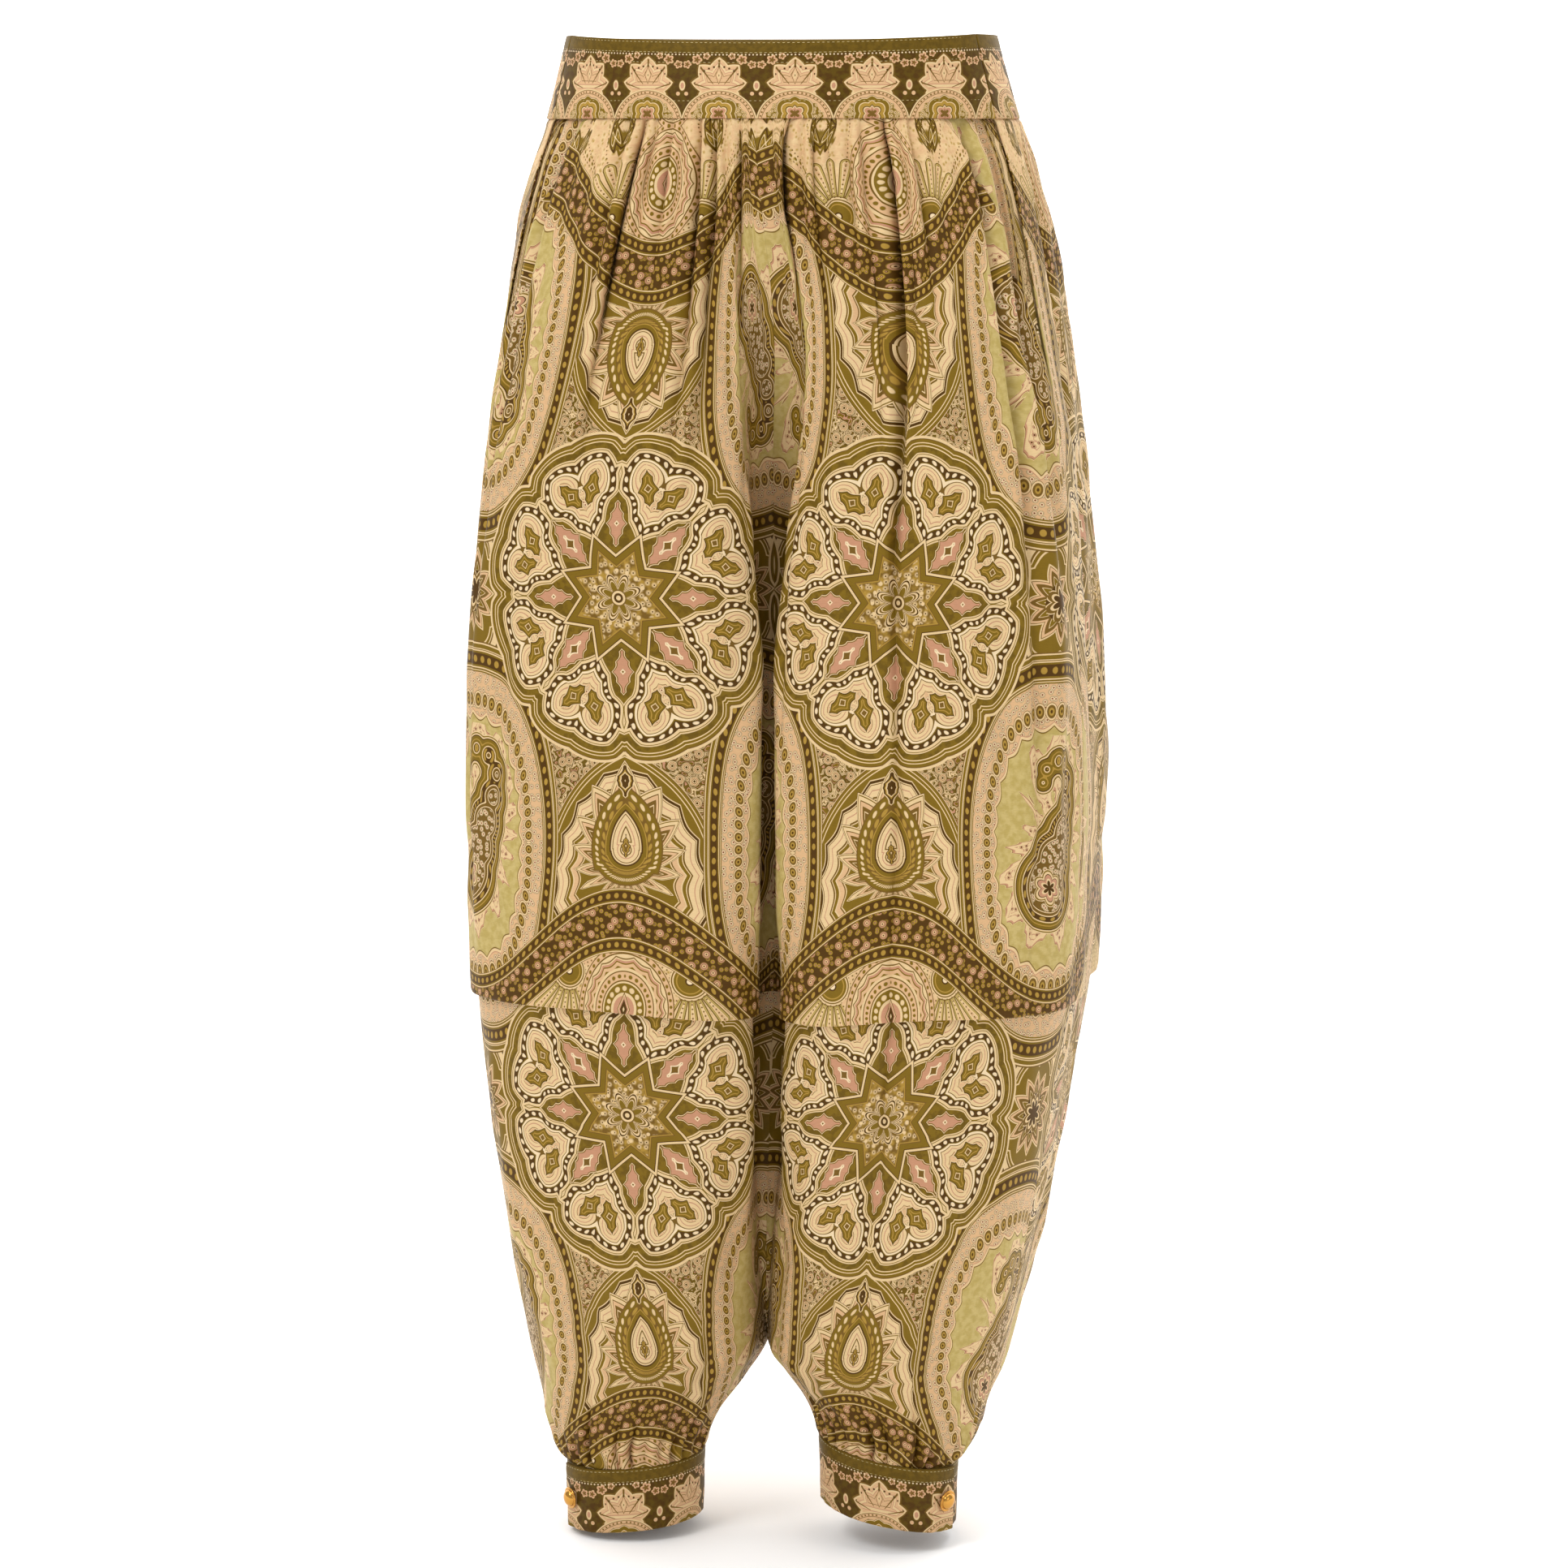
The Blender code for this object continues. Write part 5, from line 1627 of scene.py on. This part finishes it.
def border_flowers(base, x, down, ground):
    """Small flowers, buds and dots on the dark ground between the palmettes."""
    for flower_x, flower_y, radius in BORDER_FLOWERS:
        far = length(x - flower_x, down - flower_y)
        petals = far - size(sine(angle(x - flower_x, down - flower_y) * 2.5)) * radius * 0.4
        base = paint(base, both(inside(petals, radius * 0.8), ground), bands(
            petals, (0.0, BROWN), (radius * 0.25, PINK), (radius * 0.45, PEACH), (radius * 0.72, BROWN),
        ))
    gap_x = BORDER_PITCH / 2 - x
    low_bud = length(gap_x, (down - 31.0) * 0.6)
    base = inlay(base, low_bud, 2.4, (0.0, PINK), (1.2, CREAM), (2.0, BROWN))
    base = paint(base, inside(length(gap_x - 2.8, down - 36.4), 1.3), PEACH)
    return paint(base, dots(x, down - 9.9, 2.4, 0.5), WHITE)


def border_colour(tree):
    """The print of the waistband and cuffs: palmettes on arches, under a plain dark strip."""
    across, down, vector = cloth_places(tree)
    x = folded(across - BORDER_PITCH / 2, BORDER_PITCH / 2)
    mottle = blotches(tree, vector, 260.0)
    buds = scattered(tree, vector, 420.0)
    base = paint(DARK, inside(mottle, 0.5, 0.2), WORN_DARK)
    base, lotus = palmette(base, x, down)
    base = border_arch(base, x, down, buds)
    base = border_flowers(base, x, down, beyond(lotus, 0.8))
    strip = paint(STRIP, inside(mottle, 0.5, 0.2), WORN_STRIP)
    return paint(base, inside(down, STRIP_HIGH), strip), vector


# ---- materials -------------------------------------------------------------------------------------------


def new_material(name):
    """A material with its Principled shader, ready to be wired."""
    material = bpy.data.materials.new(name)
    material.use_nodes = True
    return material, material.node_tree, material.node_tree.nodes["Principled BSDF"]


def slubs_of(tree, vector):
    """The uneven threads of the cloth, between 0 and 1."""
    stretch = tree.nodes.new("ShaderNodeMapping")
    stretch.inputs["Scale"].default_value = (1.0, 9.0, 1.0)
    tree.links.new(vector, stretch.inputs["Vector"])
    return blotches(tree, stretch.outputs[0], 260.0, 3.0)


def shaded(tree, colour, shade):
    """The colour, times a grey."""
    worn = tree.nodes.new("ShaderNodeMix")
    worn.data_type = "RGBA"
    worn.blend_type = "MULTIPLY"
    worn.inputs[0].default_value = 1.0
    tree.links.new(colour, worn.inputs[6])
    tone = tree.nodes.new("ShaderNodeCombineColor")
    for slot in tone.inputs[:3]:
        tree.links.new(shade.socket, slot)
    tree.links.new(tone.outputs[0], worn.inputs[7])
    return worn.outputs[2]


def silky(name, colour_maker):
    """Soft printed silk: slubby threads, a gentle sheen and a print."""
    material, tree, shader = new_material(name)
    colour, vector = colour_maker(tree)
    slubs = slubs_of(tree, vector)
    colour = shaded(tree, colour, maths("MULTIPLY_ADD", slubs, 0.34, 0.83))
    tree.links.new(colour, shader.inputs["Base Color"])
    rough = maths("MULTIPLY_ADD", slubs, 0.16, 0.44)
    tree.links.new(rough.socket, shader.inputs["Roughness"])
    bump = tree.nodes.new("ShaderNodeBump")
    bump.inputs["Strength"].default_value = 0.22
    bump.inputs["Distance"].default_value = 0.0003
    tree.links.new(slubs.socket, bump.inputs["Height"])
    tree.links.new(bump.outputs[0], shader.inputs["Normal"])
    shader.inputs["Sheen Weight"].default_value = 0.02
    shader.inputs["Sheen Roughness"].default_value = 0.45
    shader.inputs["Sheen Tint"].default_value = (1.0, 0.93, 0.78, 1.0)
    shader.inputs["Specular IOR Level"].default_value = 0.10
    return material


def thread_material():
    """Pale gold thread."""
    material, tree, shader = new_material("thread")
    vector = tree.nodes.new("ShaderNodeTexCoord").outputs["Object"]
    tone = blotches(tree, vector, 900.0)
    colour = paint((0.62, 0.54, 0.32), inside(0.5 - tone, 0.4), (0.72, 0.64, 0.42))
    tree.links.new(colour, shader.inputs["Base Color"])
    shader.inputs["Roughness"].default_value = 0.55
    shader.inputs["Sheen Weight"].default_value = 0.2
    return material


def gold_material():
    """Polished gold metal, a little worn."""
    material, tree, shader = new_material("polished_gold")
    vector = tree.nodes.new("ShaderNodeTexCoord").outputs["Object"]
    wear = blotches(tree, vector, 420.0, 3.0)
    colour = paint((0.86, 0.66, 0.33), inside(0.5 - wear, 0.6), (0.78, 0.57, 0.27))
    tree.links.new(colour, shader.inputs["Base Color"])
    rough = maths("MULTIPLY_ADD", wear, 0.14, 0.12)
    tree.links.new(rough.socket, shader.inputs["Roughness"])
    shader.inputs["Metallic"].default_value = 1.0
    return material


# ---- stage -----------------------------------------------------------------------------------------------

CAMERA_TURN = math.radians(9.0)
CAMERA_DISTANCE = 2.9
CAMERA_HEIGHT = -0.04
CAMERA_TILT = math.radians(8.25)
FOCAL_LENGTH = 101.93
FLOOR_Z = CUFF_Z - CUFF_HEIGHT - 0.011
BACKDROP_Y = 6.0
STAGE_HALF_WIDE = 14.0
ROOM_LIGHT = 0.62
LIT_PLACE = (0.0, 0.0, -0.25)
LAMPS = (  # name, place, width, power
    ("key", (-1.5, -2.4, 2.2), 1.1, 49.0),
    ("fill", (2.6, -2.4, 0.4), 2.0, 14.0),
    ("overhead", (0.0, 0.6, 3.0), 4.0, 150.0),
)


def stage_sheet(name, material, place, turn):
    """A large flat sheet: the floor or the backdrop."""
    sheet = bmesh.new()
    bmesh.ops.create_grid(sheet, x_segments=1, y_segments=1, size=STAGE_HALF_WIDE)
    thing = linked(name, mesh_of(sheet, name))
    thing.data.materials.append(material)
    thing.location = place
    thing.rotation_euler = (turn, 0.0, 0.0)
    return thing


def make_floor():
    """A plain floor, nearly white."""
    material, tree, shader = new_material("pale_floor")
    vector = tree.nodes.new("ShaderNodeTexCoord").outputs["Object"]
    tone = blotches(tree, vector, 3.0)
    colour = paint((0.985, 0.985, 0.985), inside(tone, 0.5, 1.0), (0.995, 0.995, 0.995))
    tree.links.new(colour, shader.inputs["Base Color"])
    shader.inputs["Roughness"].default_value = 0.85
    shader.inputs["Specular IOR Level"].default_value = 0.2
    return stage_sheet("floor", material, (0.0, 0.0, FLOOR_Z), 0.0)


def make_backdrop():
    """A glowing white backdrop."""
    material, _, shader = new_material("white_backdrop")
    shader.inputs["Base Color"].default_value = (0.9, 0.9, 0.9, 1.0)
    shader.inputs["Emission Color"].default_value = (1.0, 1.0, 1.0, 1.0)
    shader.inputs["Emission Strength"].default_value = 1.0
    return stage_sheet("backdrop", material, (0.0, BACKDROP_Y, 0.0), math.pi / 2)


def light_room():
    """Soft light from all round."""
    world = bpy.data.worlds.new("studio")
    world.use_nodes = True
    world.node_tree.nodes["Background"].inputs["Color"].default_value = (1.0, 1.0, 1.0, 1.0)
    world.node_tree.nodes["Background"].inputs["Strength"].default_value = ROOM_LIGHT
    bpy.context.scene.world = world
    bpy.context.scene.view_settings.view_transform = "Standard"


def make_lamp(name, place, wide, power_of):
    """A square lamp, turned to the garment."""
    light = bpy.data.lights.new(name, "AREA")
    light.size = wide
    light.energy = power_of
    lamp = linked(name, light)
    lamp.location = place
    towards = Vector(LIT_PLACE) - Vector(place)
    lamp.rotation_euler = towards.to_track_quat("-Z", "Y").to_euler()
    return lamp


def make_camera():
    """The camera, a little to the right of the front and above it."""
    camera = linked("camera", bpy.data.cameras.new("camera"))
    camera.data.lens = FOCAL_LENGTH
    camera.data.sensor_width = 36.0
    camera.location = (
        math.sin(CAMERA_TURN) * CAMERA_DISTANCE, -math.cos(CAMERA_TURN) * CAMERA_DISTANCE, CAMERA_HEIGHT,
    )
    camera.rotation_euler = (math.pi / 2 - CAMERA_TILT, 0.0, CAMERA_TURN)
    bpy.context.scene.camera = camera


def make_stage():
    """A pale plain floor, a glowing white backdrop, soft light all round, and the camera."""
    lamps = [make_floor(), make_backdrop()]
    lamps.extend(make_lamp(*row) for row in LAMPS)
    light_room()
    make_camera()


def main():
    """The whole garment, then its stage."""
    print_cloth = silky("printed_silk", print_colour)
    border_cloth = silky("border_silk", border_colour)
    gold = gold_material()
    for side in ("left", "right"):
        points, places = make_panel(side, "front", print_cloth)
        make_pocket(side, points, places, print_cloth)
        make_panel(side, "back", print_cloth)
        make_cuff(side, border_cloth)
        make_button(side, gold)
    for face in ("front", "back"):
        make_waistband(face, border_cloth)
    make_stitches(thread_material())
    make_stage()


main()
